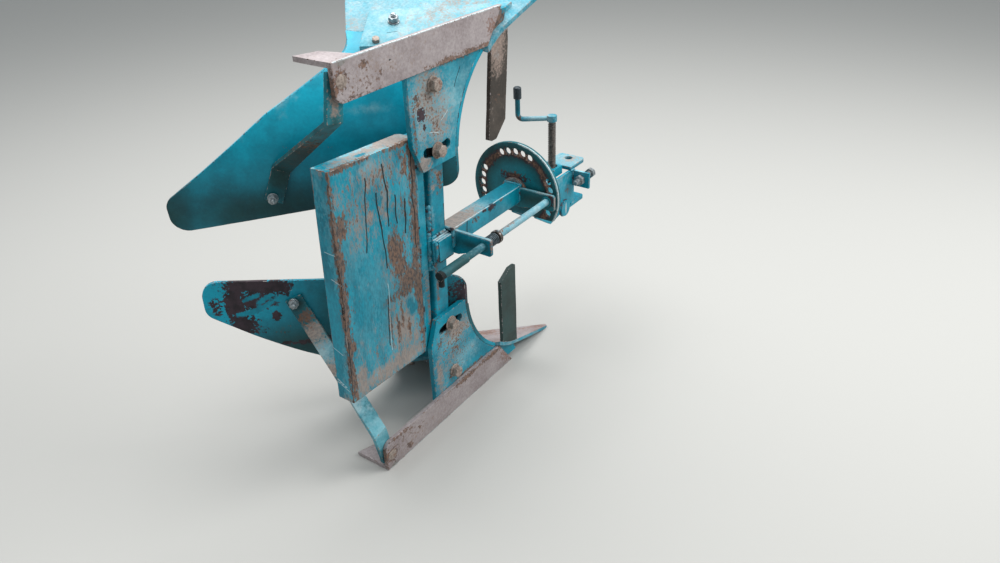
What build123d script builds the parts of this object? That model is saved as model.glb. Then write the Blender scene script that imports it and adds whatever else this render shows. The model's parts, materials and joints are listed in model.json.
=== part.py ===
from build123d import *
import math
import os

# Reversible one-furrow plough for a walking tractor, in millimetres.
# Modelled about the turnover axis: X forward along the beam, Y to the side that the
# furrow slice is turned to, Z up, x = 0 at the front face of the frame slab.
# The upper working body is drawn, and the lower one is its mirror image in the plane z = 0.

# Ground line and landside
ground = 361.0             # turnover axis to the sole of either body
landside_face = -21.0      # outer face of the landside bar
landside_thick = 8.0
landside_height = 58.0
landside_rear = -157.0
landside_front = 234.0
landside_front_cut = 43.0  # how far the bar's upper front corner is cut back
landside_corner = 16.0

# Share and mouldboard
plate_thick = 8.0          # measured in the landside's plane
cut_width = 268.0
nose_x = 390.0
nose_flat = 9.0
nose_back = 18.0           # where the share's landside edge starts, behind the nose
share_angle = 47.5         # cutting edge to the direction of travel
share_rise = 16.0          # slope of the share, in the landside's plane
share_depth = 97.0         # cutting edge to the share's back edge at the wing, in plan
share_rear_x = 192.0       # share's back edge at the landside
share_gap = 0.3
shin_x = 115.0             # upright part of the working face at the landside
shin_radius = 192.0
shin_setback = 8.0         # mouldboard's edge behind the landside's face
tail_reach = 361.0         # landside's face to the plane of the far section
tail_angle = 45.9          # working face at its inner edge to the direction of travel
tail_lean = 11.0
tail_radius = 125.0
face_top = 75.0            # height at which shin_x and the far section's top are given
face_spare = 48.0          # how far the drawn sections run past the trimmed plate
clear_depth = 90.0         # how far in front of or behind the face other pieces are cut clear
board_clear = 135.0        # height down to which the mouldboard's space reaches the landside
outline_angle = 43.0       # plane that the mouldboard's outline is drawn in
shin_corner_at = -86.0     # along that plane, from the turnover axis
shin_corner_height = 91.0
shin_edge_height = 64.0
tail_corner_height = 49.0
wing_end = 71.0
wing_rise = 48.0           # sole to the wing corner
outline_radii = (30.0, 28.0, 24.0, 60.0, 20.0)
trimmed_corner = 1.0       # corners of the outline that the share's edge cuts off
# body, end of the tail, height of its tip, then place and height of the bend in the slanting edge
board_rows = (
    ("upper", 394.0, 108.0, 215.0, 236.0),
    ("lower", 377.0, 112.0, 215.0, 220.0),
)

# Frog: the side plate that carries a body
frog_thick = 10.0
frog_rear = -6.0
frog_tip = 142.0           # turnover axis to the frog's inner edge
frog_chamfer_x = 20.0
frog_chamfer_height = 50.0
frog_sole_gap = 9.0
frog_front = 260.0
frog_front_low = 150.0
fit_gap = 0.3
main_bolt_x = 52.0
main_bolt_height = 276.0
slot_radius = 108.0
slot_width = 16.0
slot_sweep = 28.0
slot_middle = -90.0        # below the main bolt

# Seat plate behind the share
seat_thick = 8.0
seat_front = 62.0          # behind the cutting edge, in plan
seat_width = 88.0
seat_reach = 175.0         # y of its outer end, at its front edge
seat_taper = 45.0

# Heel and brace
heel_thick = 8.0
heel_width = 65.0
heel_root = 50.0
heel_tip = 36.0
heel_tip_width = 52.0
brace_width = 30.0
brace_thick = 7.0
brace_x = -156.0           # at the upper bend
brace_bend_drop = 82.0     # sole to the upper bend
brace_leg = 67.0
brace_lean = 11.0
foot_sink = 1.5            # extra thickness that is cut away to fit the mouldboard
foot_bend_at = 203.0       # in the plane of the mouldboard's outline
foot_bend_height = 150.0
foot_end_at = 224.5
foot_end_height = 94.0

# Frame slab, spine and post
slab_length = 186.0
slab_height = 400.0
slab_thick = 34.0
slab_side = -3.0           # near face of slab and post
slab_chamfer = 6.0
spine_width = 20.0
spine_height = 392.0
spine_thick = 30.0
spine_step = 2.0           # slab's near face to the spine's
groove_width = 12.0
web_thick = 14.0
post_width = 38.0
post_thick = 16.0
post_height = 604.0
post_edge = 4.0
frame_lean = 2.7           # slab, spine and post lean forward at the top, against the beam

# Beam, its side plates and the lugs of the lock rod
beam_size = 35.0
beam_wall = 4.0
beam_corner = 3.0
beam_front = 285.0
fish_thick = 6.0
fish_rear = 28.0
fish_top = 13.0
fish_bottom = -31.0
fish_step_rear = 4.0       # outer plate inside the inner one
fish_step_top = 3.0
lug_thick = 6.0
lug_reach = 95.0
lug_top = 14.0
lug_drop = 18.0
lug_rear_x = 75.0
lug_rear_foot = 32.0
lug_front_foot = 26.0
lug_root = 6.0
lug_corner = 5.0

# Index disc
disc_thick = 8.0
disc_radius = 97.0
disc_chord = 47.0
disc_gap = 1.0             # hub flange to disc
hole_circle = 79.0
hole_size = 14.0
hole_step = 12.0
holes_per_group = 5
hub_radius = 28.0
hub_thick = 6.0
shaft_size = 30.0
shaft_length = 72.0
shaft_clearance = 0.05

# Lock rod
rod_size = 13.0
rod_rear = -46.0
rod_clearance = 0.25
rod_proud = 0.5            # rod's end in front of the front lug, short of the disc
grip_size = 16.0
grip_length = 72.0
pull_size = 10.0
pull_length = 20.0
spring_size = 21.0
spring_length = 30.0
spring_bore_gap = 0.6
collar_size = 24.0
collar_length = 7.0

# Pivot sleeve and screw tongue
sleeve_radius = 19.0
sleeve_length = 68.0
trunnion_x = 38.0          # in front of the disc's front face
trunnion_size = 16.0
trunnion_reach = 38.0
trunnion_clearance = 0.05
trunnion_collar = 27.0
trunnion_play = 0.3
cap_thick = 6.0
tongue_width = 24.0
tongue_thick = 16.0
tongue_drop = 8.0          # turnover axis down to the tongue's middle
block_length = 34.0
block_width = 30.0
block_thick = 18.0
block_slot_length = 27.0
block_slot_gap = 1.0

# Hitch head
head_inner = 24.0
head_plate = 6.0
head_rear_radius = 18.0
head_corner = 16.0
head_rear_drop = 66.0
head_low_x = 374.0
head_low = 102.0
head_top = 12.0
head_bottom = 96.0
head_front = 468.0
head_notch_x = 366.0
ear_rear = 453.0
ear_front = 512.0
ear_thick = 8.0
hitch_bore = 17.0
hitch_x = 495.0
ear_corner = 8.0
screw_x = 427.0
swivel_drop = 86.0
swivel_size = 24.0
boss_radius = 17.0
boss_thick = 5.0

# Stop bolts on both sides of the head
tab_reach = 38.0
tab_thick = 6.0
tab_height = 34.0
tab_top = 14.0
stop_size = 12.0
bolt_clearance = 0.2
stop_nut = 19.0
stop_nut_thick = 10.0
stop_rear = 24.0
stop_front = 30.0

# Crank
screw_size = 16.0
screw_tail = 10.0
arm_height = 98.0
arm_size = 10.0
arm_length = 68.0
arm_bend = 11.0
arm_angle = 125.0          # arm to the direction of travel, in plan
arm_cap_size = 20.0
arm_cap_height = 12.0
grip_rise = 42.0
knob_size = 16.0
knob_height = 24.0
knob_round = 4.0

# Worn landside knives: one row per body
# body, lean back in degrees, rear x and front x at the foot, tip height, rear and front
# shoulder heights, x of the tip behind the front edge
knife_foot = 300.0
knife_point = 14.0         # width of the tip
knife_rows = (
    ("upper", 6.0, 200.0, 249.0, 138.0, 142.0, 166.0, 26.0),
    ("lower", 0.0, 203.0, 254.0, 140.0, 158.0, 141.0, 6.0),
)

# Lengths of the cutting tools
over = 1.0                 # past each side of what they cut
wide = 900.0               # beyond the whole plough


def side_plane(y):
    """A drawing plane at this y: its own x runs forward and its own y runs up."""
    return Plane(origin=(0, y, 0), x_dir=(1, 0, 0), z_dir=(0, -1, 0))


def side_plate(points, near, far):
    """A flat plate between two values of y, from its outline in x and z."""
    return extrude(side_plane(far) * make_face(Polyline(*points, close=True)), amount=far - near)


def cross_plate(points, rear, thick):
    """A flat plate across the beam, from its outline in y and z."""
    plane = Plane(origin=(rear, 0, 0), x_dir=(0, 1, 0), z_dir=(1, 0, 0))
    return extrude(plane * make_face(Polyline(*points, close=True)), amount=thick)


def level_plate(points, bottom, thick):
    """A flat level plate, from its outline in x and y."""
    return extrude(Plane.XY.offset(bottom) * make_face(Polyline(*points, close=True)), amount=thick)


def bar(a, b, radius):
    """A round bar between two points."""
    line = Line(a, b)
    return extrude(Plane(origin=a, z_dir=line % 0) * Circle(radius), amount=line.length)


def box(low, high):
    """A box between two corners."""
    size = [h - l for l, h in zip(low, high)]
    middle = [(h + l) / 2 for l, h in zip(low, high)]
    return Pos(*middle) * Box(*size)


def mirrored(part):
    """The same piece on the lower body."""
    return mirror(part, about=Plane.XY)


# Working face: in each section a straight share, an arc and a straight upper part

def direction(angle):
    """Unit vector in x and y at this angle from the direction of travel, swept back."""
    return -math.cos(math.radians(angle)), math.sin(math.radians(angle))


def face_section(y, edge_x, top_x, lean, radius, front, back):
    """The area between two curves parallel to the working face, in the plane at this y."""
    rise = math.radians(share_rise)
    tilt = math.radians(lean)
    along_share = (-math.cos(rise), -math.sin(rise))
    along_upper = (math.sin(tilt), -math.cos(tilt))
    behind_share = (-math.sin(rise), math.cos(rise))
    behind_upper = (-math.cos(tilt), -math.sin(tilt))
    slope = math.tan(rise)
    turn = math.pi / 2 - rise + tilt
    corner_z = (ground - slope * (edge_x - top_x - face_top * math.tan(tilt)))
    corner_z /= 1 + slope * math.tan(tilt)
    corner = (top_x - (corner_z - face_top) * math.tan(tilt), corner_z)
    reach = (edge_x - corner[0]) / math.cos(rise) + face_spare
    height = (corner_z - face_top) / math.cos(tilt) + face_spare

    def curve(offset):
        """The working face's line at this distance behind it."""
        a = [corner[k] + offset * behind_share[k] for k in (0, 1)]
        b = [corner[k] + offset * behind_upper[k] for k in (0, 1)]
        cross = along_share[0] * along_upper[1] - along_share[1] * along_upper[0]
        move = ((b[0] - a[0]) * along_upper[1] - (b[1] - a[1]) * along_upper[0]) / cross
        bend = [a[k] + move * along_share[k] for k in (0, 1)]
        tangent = (radius + offset) * math.tan(turn / 2)
        start = tuple(a[k] - reach * along_share[k] for k in (0, 1))
        arc_start = tuple(bend[k] - tangent * along_share[k] for k in (0, 1))
        arc_end = tuple(bend[k] + tangent * along_upper[k] for k in (0, 1))
        end = tuple(b[k] + height * along_upper[k] for k in (0, 1))
        arc = TangentArc(arc_start, arc_end, tangent=along_share)
        return [Line(start, arc_start), arc, Line(arc_end, end)]

    inner = curve(front)
    outer = curve(back)
    ends = [Line(inner[0] @ 0, outer[0] @ 0), Line(inner[2] @ 1, outer[2] @ 1)]
    return side_plane(y) * make_face([*inner, *outer, *ends])


def face_body(front, back):
    """A solid between two surfaces parallel to the working face."""
    far_edge = nose_x - tail_reach / math.tan(math.radians(share_angle))
    far_top = shin_x - tail_reach / math.tan(math.radians(tail_angle))
    near = face_section(landside_face, nose_x, shin_x, 0, shin_radius, front, back)
    far_y = landside_face + tail_reach
    far = face_section(far_y, far_edge, far_top, tail_lean, tail_radius, front, back)
    return loft([near, far], ruled=True)


across = (math.sin(math.radians(share_angle)), math.cos(math.radians(share_angle)))
edge_dir = direction(share_angle)
nose = (nose_x, landside_face)
edge_length = cut_width / math.sin(math.radians(share_angle))


def on_share(along, behind):
    """A point in plan, by its place along the cutting edge and behind it."""
    return tuple(nose[k] + along * edge_dir[k] - behind * across[k] for k in (0, 1))


def plan_prism(points):
    """A tall prism on a plan outline, reaching down to the upper body's ground line."""
    return level_plate(points, face_top, ground - face_top)


def side_limit(behind, start):
    """Where a line behind the cutting edge meets the plane y = start."""
    along = (start - landside_face + behind * across[1]) / edge_dir[1]
    return on_share(along, behind)


plate = face_body(0, plate_thick)
in_front = face_body(-clear_depth, plate_thick + fit_gap)
wing_corner = on_share(edge_length, share_depth)
rear_corner = (share_rear_x, landside_face)
share_outline = [
    side_limit(0, landside_face + nose_flat),
    on_share(edge_length, 0),
    wing_corner,
    rear_corner,
    (nose_x - nose_back, landside_face),
]
share = plate & plan_prism(share_outline)

board_plane = Plane(
    origin=(0, 0, 0),
    x_dir=(*direction(outline_angle), 0),
    z_dir=(math.sin(math.radians(outline_angle)), math.cos(math.radians(outline_angle)), 0),
)
wing_height = ground - wing_rise


def board_space(row):
    """The space inside one mouldboard's outline, drawn on the upper body."""
    name, tail_end, tip_height, bend_at, bend_height = row
    points = [
        (shin_corner_at, shin_corner_height),
        (tail_end, tail_corner_height),
        (tail_end, tip_height),
        (bend_at, bend_height),
        (wing_end, wing_height),
        (wing_end, ground),
        (-wide, ground),
        (-wide, wing_height),
        (shin_corner_at, shin_corner_height + shin_edge_height),
    ]
    radii = [*outline_radii, *[trimmed_corner] * 4]
    wire = FilletPolyline(*points, close=True, radius=radii)
    return extrude(board_plane * make_face(wire), amount=wide / 2, both=True)


joint_run = [w - r for w, r in zip(wing_corner, rear_corner)]
joint_length = math.hypot(*joint_run)
joint_back = (-share_gap * joint_run[1] / joint_length, share_gap * joint_run[0] / joint_length)


def on_joint(y):
    """A point on the mouldboard's lower edge, just behind the share's back edge."""
    part = (y - landside_face) / joint_run[1]
    return tuple(rear_corner[k] + part * joint_run[k] + joint_back[k] for k in (0, 1))


edge_y = landside_face + shin_setback
behind_share = plan_prism([on_joint(edge_y), on_joint(wide), (-2 * wide, wide), (-2 * wide, edge_y)])
behind_share += level_plate(
    [(-2 * wide, edge_y), (wide, edge_y), (wide, wide), (-2 * wide, wide)], 0, board_clear)
mouldboards = {row[0]: plate & board_space(row) & behind_share for row in board_rows}

seat_outline = [
    side_limit(seat_front, slab_side),
    side_limit(seat_front, seat_reach),
    side_limit(seat_front + seat_width, seat_reach - seat_taper),
    side_limit(seat_front + seat_width, slab_side),
]
seat = face_body(plate_thick, plate_thick + seat_thick) & plan_prism(seat_outline)

# Frog plate with its adjusting slot
frog_near = landside_face + landside_thick
frog_far = frog_near + frog_thick
frog_end = ground - frog_sole_gap
frog = side_plate([
    (frog_rear, frog_end),
    (frog_rear, frog_tip + frog_chamfer_height),
    (frog_rear + frog_chamfer_x, frog_tip),
    (frog_front_low, frog_tip),
    (frog_front, frog_end),
], frog_near, frog_far)
frog -= in_front
slot_start = slot_middle - slot_sweep / 2
slot_path = CenterArc((main_bolt_x, main_bolt_height), slot_radius, slot_start, slot_sweep)
slot_face = SlotArc(slot_path, slot_width)
frog -= extrude(side_plane(frog_far + over) * slot_face, amount=frog_thick + 2 * over)

# Landside bar with its heel flange
landside_inner = ground - landside_height
landside = side_plate([
    (landside_rear, ground),
    (landside_rear, landside_inner),
    (landside_front - landside_front_cut, landside_inner),
    (landside_front, ground),
], landside_face, frog_near)
corner = landside.edges().filter_by(Axis.Y).sort_by(Axis.X)[:2].sort_by(Axis.Z)[0]
landside = fillet(corner, landside_corner)
landside -= in_front

heel = level_plate([
    (landside_rear, frog_near),
    (landside_rear + heel_root, frog_near),
    (landside_rear + heel_tip, frog_near + heel_tip_width),
    (landside_rear, frog_near + heel_width),
], ground - heel_thick, heel_thick)


# Brace from the landside's heel to the mouldboard's back: leg, twisted run and flat foot
back_layer = face_body(plate_thick + fit_gap, plate_thick + fit_gap + brace_thick)
foot_run = (foot_end_at - foot_bend_at, foot_end_height - foot_bend_height)
foot_turn = math.atan2(foot_run[0], -foot_run[1])
foot_place = Pos((foot_bend_at + foot_end_at) / 2, (foot_bend_height + foot_end_height) / 2)
foot_outline = Rot(0, 0, math.degrees(foot_turn)) * Rectangle(brace_width, math.hypot(*foot_run))
foot_face = board_plane * foot_place * foot_outline
foot_layer = back_layer & extrude(foot_face, amount=wide / 2, both=True)
down_axis = board_plane.x_dir * math.sin(foot_turn) - Vector(0, 0, math.cos(foot_turn))
across_axis = board_plane.x_dir * math.cos(foot_turn) + Vector(0, 0, math.sin(foot_turn))
foot_ends = foot_layer.faces().sort_by(Axis((0, 0, 0), down_axis))
foot_sides = foot_layer.faces().sort_by(Axis((0, 0, 0), across_axis))
foot_bend = foot_ends[0].center()
foot_end = foot_ends[-1].center()
across_foot = foot_sides[0].center() - foot_sides[-1].center()
lean_angle = math.radians(brace_lean)
leg_bend = Vector(brace_x, frog_near + fit_gap + brace_thick / 2, ground - brace_bend_drop)
leg_top = leg_bend + Vector(math.sin(lean_angle), 0, math.cos(lean_angle)) * brace_leg
across_leg = Vector(math.cos(lean_angle), 0, -math.sin(lean_angle))
leg_dir = (leg_bend - leg_top).normalized()
run_dir = (foot_bend - leg_bend).normalized()
foot_dir = (foot_end - foot_bend).normalized()


def strip_section(middle, before, after, across, sunk):
    """The strip's section where two straight runs meet, thickened inward by sunk."""
    across = across.normalized()
    mitre_dir = before + after
    plane = Plane(origin=middle, x_dir=across, z_dir=mitre_dir - across * mitre_dir.dot(across))
    mitre = math.cos(before.get_angle(after) * math.pi / 360)
    return plane * Pos(0, -sunk / 2) * Rectangle(brace_width, brace_thick / mitre + sunk)


brace = loft([
    strip_section(leg_top, leg_dir, leg_dir, across_leg, 0),
    strip_section(leg_bend, leg_dir, run_dir, across_leg, 0),
    strip_section(foot_bend, run_dir, foot_dir, across_foot, foot_sink),
    strip_section(foot_end, foot_dir, foot_dir, across_foot, foot_sink),
], ruled=True)
brace -= in_front


def knife(row):
    """A flat knife on the share's landside corner, drawn on the upper body."""
    name, lean, rear, front, tip, rear_shoulder, front_shoulder, tip_back = row
    shift = math.tan(math.radians(lean))

    def back(z):
        """How far the leaning blade has moved back at this height."""
        return (knife_foot - z) * shift

    points = [
        (rear, ground),
        (rear, knife_foot),
        (rear - back(rear_shoulder), rear_shoulder),
        (front - tip_back - knife_point - back(tip), tip),
        (front - tip_back - back(tip), tip),
        (front - back(front_shoulder), front_shoulder),
        (front, knife_foot),
        (front, ground),
    ]
    blade = side_plate(points, landside_face, frog_near)
    return blade - face_body(0, clear_depth)


knives = {row[0]: knife(row) for row in knife_rows}

# Frame slab, spine, post
slab = box((-slab_length, slab_side, -slab_height / 2), (0, slab_side + slab_thick, slab_height / 2))
slab = chamfer(slab.edges().filter_by(Axis.Z).sort_by(Axis.X)[-2:].sort_by(Axis.Y)[-1:], slab_chamfer)
spine = box(
    (0, slab_side + spine_step, -spine_height / 2),
    (spine_width, slab_side + spine_thick, spine_height / 2))
web_y = slab_side + slab_thick / 2
spine += box(
    (spine_width, web_y - web_thick / 2, -spine_height / 2),
    (spine_width + groove_width, web_y + web_thick / 2, spine_height / 2))
post_rear = spine_width + groove_width
post_front = post_rear + post_width
post = box(
    (post_rear, slab_side, -post_height / 2),
    (post_front, slab_side + post_thick, post_height / 2))
post = fillet(post.edges().filter_by(Axis.Z), post_edge)
post_middle = (post_rear + post_front) / 2
lean = Pos(post_middle, 0, 0) * Rot(0, frame_lean, 0) * Pos(-post_middle, 0, 0)
slab = lean * slab
spine = lean * spine
post = lean * post
post -= in_front
post -= mirrored(in_front)

# Beam
half = beam_size / 2
beam = box((post_front, -half, -half), (beam_front, half, half))
beam = fillet(beam.edges().filter_by(Axis.X), beam_corner)
beam -= box(
    (post_front - over, -half + beam_wall, -half + beam_wall),
    (beam_front + over, half - beam_wall, half - beam_wall))
beam -= post
fish = box((fish_rear, slab_side - fish_thick, fish_bottom), (post_front, slab_side, fish_top))
fish += box(
    (fish_rear + fish_step_rear, -half, fish_bottom),
    (post_front, slab_side - fish_thick, fish_top - fish_step_top))


def lug(rear, foot):
    """A plate across the beam's near side, with the bore of the lock rod."""
    outline = [
        (-half, lug_top),
        (-lug_reach, lug_top),
        (-lug_reach, -lug_drop),
        (-hole_circle + lug_drop, -lug_drop),
        (-half - lug_root, -foot),
        (0, -foot),
        (0, -half),
        (-half, -half),
    ]
    plate_part = cross_plate(outline, rear, lug_thick)
    corners = plate_part.edges().filter_by(Axis.X).sort_by(Axis.Y)[:2]
    plate_part = fillet(corners, lug_corner)
    front = rear + lug_thick
    bore_radius = rod_size / 2 + rod_clearance
    bore = bar((rear - over, -hole_circle, 0), (front + over, -hole_circle, 0), bore_radius)
    return plate_part - bore


lug_rear = lug(lug_rear_x, lug_rear_foot)
lug_front = lug(beam_front - lug_thick, lug_front_foot)

# Hub, disc, sleeve and tongue
disc_rear = beam_front + hub_thick + disc_gap
disc_front = disc_rear + disc_thick
hub = bar((beam_front, 0, 0), (beam_front + hub_thick, 0, 0), hub_radius)
hub += bar((beam_front, 0, 0), (beam_front + shaft_length, 0, 0), shaft_size / 2)

shaft_bore = shaft_size / 2 + shaft_clearance
disc = bar((disc_rear, 0, 0), (disc_front, 0, 0), disc_radius)
disc &= box((disc_rear, -disc_radius, -disc_chord), (disc_front, disc_radius, disc_radius))
disc -= bar((disc_rear - over, 0, 0), (disc_front + over, 0, 0), shaft_bore)
group_angles = (0.0, 90.0, 180.0)
hole_angles = [
    group + (k - (holes_per_group - 1) / 2) * hole_step
    for group in group_angles
    for k in range(holes_per_group)
]
for angle in hole_angles:
    y = hole_circle * math.cos(math.radians(angle))
    z = hole_circle * math.sin(math.radians(angle))
    disc -= bar((disc_rear - over, y, z), (disc_front + over, y, z), hole_size / 2)

sleeve_front = disc_front + sleeve_length
pivot_x = disc_front + trunnion_x
sleeve = bar((disc_front, 0, 0), (sleeve_front, 0, 0), sleeve_radius)
sleeve += bar((pivot_x, -trunnion_reach, 0), (pivot_x, trunnion_reach, 0), trunnion_size / 2)
collar_reach = head_inner - trunnion_play
sleeve += bar((pivot_x, -collar_reach, 0), (pivot_x, collar_reach, 0), trunnion_collar / 2)
sleeve -= bar((disc_front - over, 0, 0), (sleeve_front + over, 0, 0), shaft_bore)

tongue_top = -tongue_drop + tongue_thick / 2
tongue = bar((sleeve_front, 0, 0), (sleeve_front + cap_thick, 0, 0), sleeve_radius)
tongue += box(
    (sleeve_front + cap_thick / 2, -tongue_width / 2, tongue_top - tongue_thick),
    (screw_x, tongue_width / 2, tongue_top))
tongue += Pos(screw_x, 0, -tongue_drop) * Box(block_length, block_width, block_thick)
screw_slot_width = screw_size + 2 * block_slot_gap
tongue -= extrude(
    Plane.XY.offset(-tongue_drop - block_thick) * Pos(screw_x, 0)
    * SlotOverall(block_slot_length, screw_slot_width), amount=block_thick * 2)

# Hitch head
head_outline = [
    (pivot_x, head_rear_radius),
    (pivot_x - head_rear_radius, head_rear_radius),
    (pivot_x - head_rear_radius, -head_rear_drop),
    (head_low_x, -head_low),
    (ear_rear, -head_bottom + ear_thick),
    (head_front, -head_bottom + ear_thick),
    (head_front, -head_top),
    (head_notch_x, -head_top),
    (pivot_x + head_rear_radius, head_rear_radius / 2),
]


def head_side(side):
    """One side plate of the hitch head, with the bore of the trunnion and the screw's boss."""
    near = min(side * head_inner, side * (head_inner + head_plate))
    far = max(side * head_inner, side * (head_inner + head_plate))
    part = side_plate(head_outline, near, far)
    top_corners = part.edges().filter_by(Axis.Y).sort_by(Axis.X)[:2].sort_by(Axis.Z)[-1:]
    part = fillet(top_corners, head_corner)
    outer = side * (head_inner + head_plate)
    boss_end = outer + side * boss_thick
    part += bar((screw_x, outer, -swivel_drop), (screw_x, boss_end, -swivel_drop), boss_radius)
    trunnion_bore = trunnion_size / 2 + trunnion_clearance
    part -= bar((pivot_x, near - over, 0), (pivot_x, far + over, 0), trunnion_bore)
    return part


head_half = head_inner + head_plate


def ear(bottom):
    """A level ear of the head with the bore of the hitch pin."""
    part = box((ear_rear, -head_half, bottom), (ear_front, head_half, bottom + ear_thick))
    part = fillet(part.edges().filter_by(Axis.Z).sort_by(Axis.X)[-2:], ear_corner)
    top = bottom + ear_thick
    return part - bar((hitch_x, 0, bottom - over), (hitch_x, 0, top + over), hitch_bore / 2)


def stop_tab(side):
    """A tab on the side plate's front edge that takes the stop bolt."""
    inner = side * head_half
    outer = side * (head_half + tab_reach)
    part = box(
        (head_front - tab_thick, min(inner, outer), -tab_top - tab_height),
        (head_front, max(inner, outer), -tab_top))
    y = side * (head_half + tab_reach / 2)
    z = -tab_top - tab_height / 2
    rear = head_front - tab_thick
    part -= bar((rear - over, y, z), (head_front + over, y, z), stop_size / 2 + bolt_clearance)
    return part


def stop_bolt(side):
    """The stop bolt with its head in front and its lock nut behind the tab."""
    y = side * (head_half + tab_reach / 2)
    z = -tab_top - tab_height / 2
    rear = head_front - tab_thick
    part = bar((rear - stop_rear, y, z), (head_front + stop_front, y, z), stop_size / 2)
    hexagon = RegularPolygon(stop_nut / 2, 6, major_radius=False)
    for start in (rear - stop_nut_thick, head_front + stop_front):
        part += extrude(Plane(origin=(start, y, z), z_dir=(1, 0, 0)) * hexagon, amount=stop_nut_thick)
    return part


head_near = head_side(-1)
head_far = head_side(1)
ear_top = ear(-head_top)
ear_bottom = ear(-head_bottom)
swivel = bar((screw_x, -head_inner, -swivel_drop), (screw_x, head_inner, -swivel_drop), swivel_size / 2)
swivel -= bar(
    (screw_x, 0, -swivel_drop - swivel_size),
    (screw_x, 0, -swivel_drop + swivel_size),
    screw_size / 2 + shaft_clearance)

# Crank
arm_dir = (math.cos(math.radians(arm_angle)), math.sin(math.radians(arm_angle)))
arm_end = (screw_x + arm_length * arm_dir[0], arm_length * arm_dir[1])
spindle_foot = -swivel_drop - swivel_size / 2 - screw_tail
spindle = bar((screw_x, 0, spindle_foot), (screw_x, 0, arm_height), screw_size / 2)
arm = bar((screw_x, 0, arm_height), (screw_x, 0, arm_height + arm_cap_height), arm_cap_size / 2)
arm_z = arm_height + arm_cap_height / 2
grip_top = arm_z + grip_rise
arm_path = FilletPolyline((screw_x, 0, arm_z), (*arm_end, arm_z), (*arm_end, grip_top), radius=arm_bend)
arm += sweep(Plane(origin=arm_path @ 0, z_dir=arm_path % 0) * Circle(arm_size / 2), path=arm_path)
knob = bar((*arm_end, grip_top), (*arm_end, grip_top + knob_height), knob_size / 2)
knob = fillet(knob.edges().sort_by(Axis.Z)[-1], knob_round)

# Lock rod with its grip, spring and collar
rod_y = -hole_circle
rod_front = beam_front + rod_proud
rod = bar((rod_rear, rod_y, 0), (rod_front, rod_y, 0), rod_size / 2)
rod += bar((rod_rear, rod_y, 0), (rod_rear + grip_length, rod_y, 0), grip_size / 2)
pull_x = rod_rear + pull_size / 2
rod += bar((pull_x, rod_y, 0), (pull_x, rod_y, -pull_length), pull_size / 2)
spring_rear = lug_rear_x + lug_thick
spring_front = spring_rear + spring_length
spring = bar((spring_rear, rod_y, 0), (spring_front, rod_y, 0), spring_size / 2)
spring_bore = rod_size / 2 + spring_bore_gap
spring -= bar((spring_rear - over, rod_y, 0), (spring_front + over, rod_y, 0), spring_bore)
collar_front = spring_front + collar_length
collar_bore = rod_size / 2 + shaft_clearance
collar = bar((spring_front, rod_y, 0), (collar_front, rod_y, 0), collar_size / 2)
collar -= bar((spring_front - over, rod_y, 0), (collar_front + over, rod_y, 0), collar_bore)

nodes = {
    "hitch_plate_near": head_near,
    "hitch_plate_far": head_far,
    "hitch_ear_top": ear_top,
    "hitch_ear_bottom": ear_bottom,
    "stop_tab_near": stop_tab(-1),
    "stop_tab_far": stop_tab(1),
    "stop_bolt_near": stop_bolt(-1),
    "stop_bolt_far": stop_bolt(1),
    "screw_swivel": swivel,
    "crank_spindle": spindle,
    "crank_arm": arm,
    "crank_knob": knob,
    "index_disc": disc,
    "pivot_sleeve": sleeve,
    "screw_tongue": tongue,
    "turning_hub": hub,
    "beam": beam,
    "fish_plates": fish,
    "lug_rear": lug_rear,
    "lug_front": lug_front,
    "lock_rod": rod,
    "lock_spring": spring,
    "lock_collar": collar,
    "frame_slab": slab,
    "frame_spine": spine,
    "post": post,
}
body_pieces = {
    "frog": frog,
    "landside": landside,
    "heel_flange": heel,
    "brace": brace,
    "share": share,
    "share_seat": seat,
}
for name, piece in body_pieces.items():
    nodes[name + "_upper"] = piece
    nodes[name + "_lower"] = mirrored(piece)
nodes["mouldboard_upper"] = mouldboards["upper"]
nodes["mouldboard_lower"] = mirrored(mouldboards["lower"])
nodes["knife_upper"] = knives["upper"]
nodes["knife_lower"] = mirrored(knives["lower"])

# The finished part stands with its origin on the floor, under the middle of its box
boxes = [part.bounding_box() for part in nodes.values()]
low = [min(getattr(b.min, axis) for b in boxes) for axis in "XYZ"]
high = [max(getattr(b.max, axis) for b in boxes) for axis in "XYZ"]
shift = Pos(-(low[0] + high[0]) / 2, -(low[1] + high[1]) / 2, -low[2])

os.makedirs("parts", exist_ok=True)
for name, part in nodes.items():
    export_step(shift * part, f"parts/{name}.step")

offset = shift.position
print("size", [round(h - l, 2) for l, h in zip(low, high)])
print("shift, and turnover axis through", [round(v, 3) for v in offset])
print("pitch axis through", round(pivot_x + offset.X, 3), round(offset.Y, 3), round(offset.Z, 3))
print("hitch bore at", round(hitch_x + offset.X, 3), round(offset.Y, 3),
      "from z", round(offset.Z - head_bottom, 3), "to", round(offset.Z - head_top + ear_thick, 3))
for name, part in nodes.items():
    print(name, round(part.volume), len(part.solids()), part.is_valid)
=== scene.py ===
"""Looks of a weathered reversible tiller plough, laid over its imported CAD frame."""

import json
import logging
import math
import random
from dataclasses import dataclass, replace
from enum import Enum
from typing import Any, ClassVar, Sequence

import bmesh
import bpy
import numpy as np
from mathutils import Matrix, Vector, kdtree, noise

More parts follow.
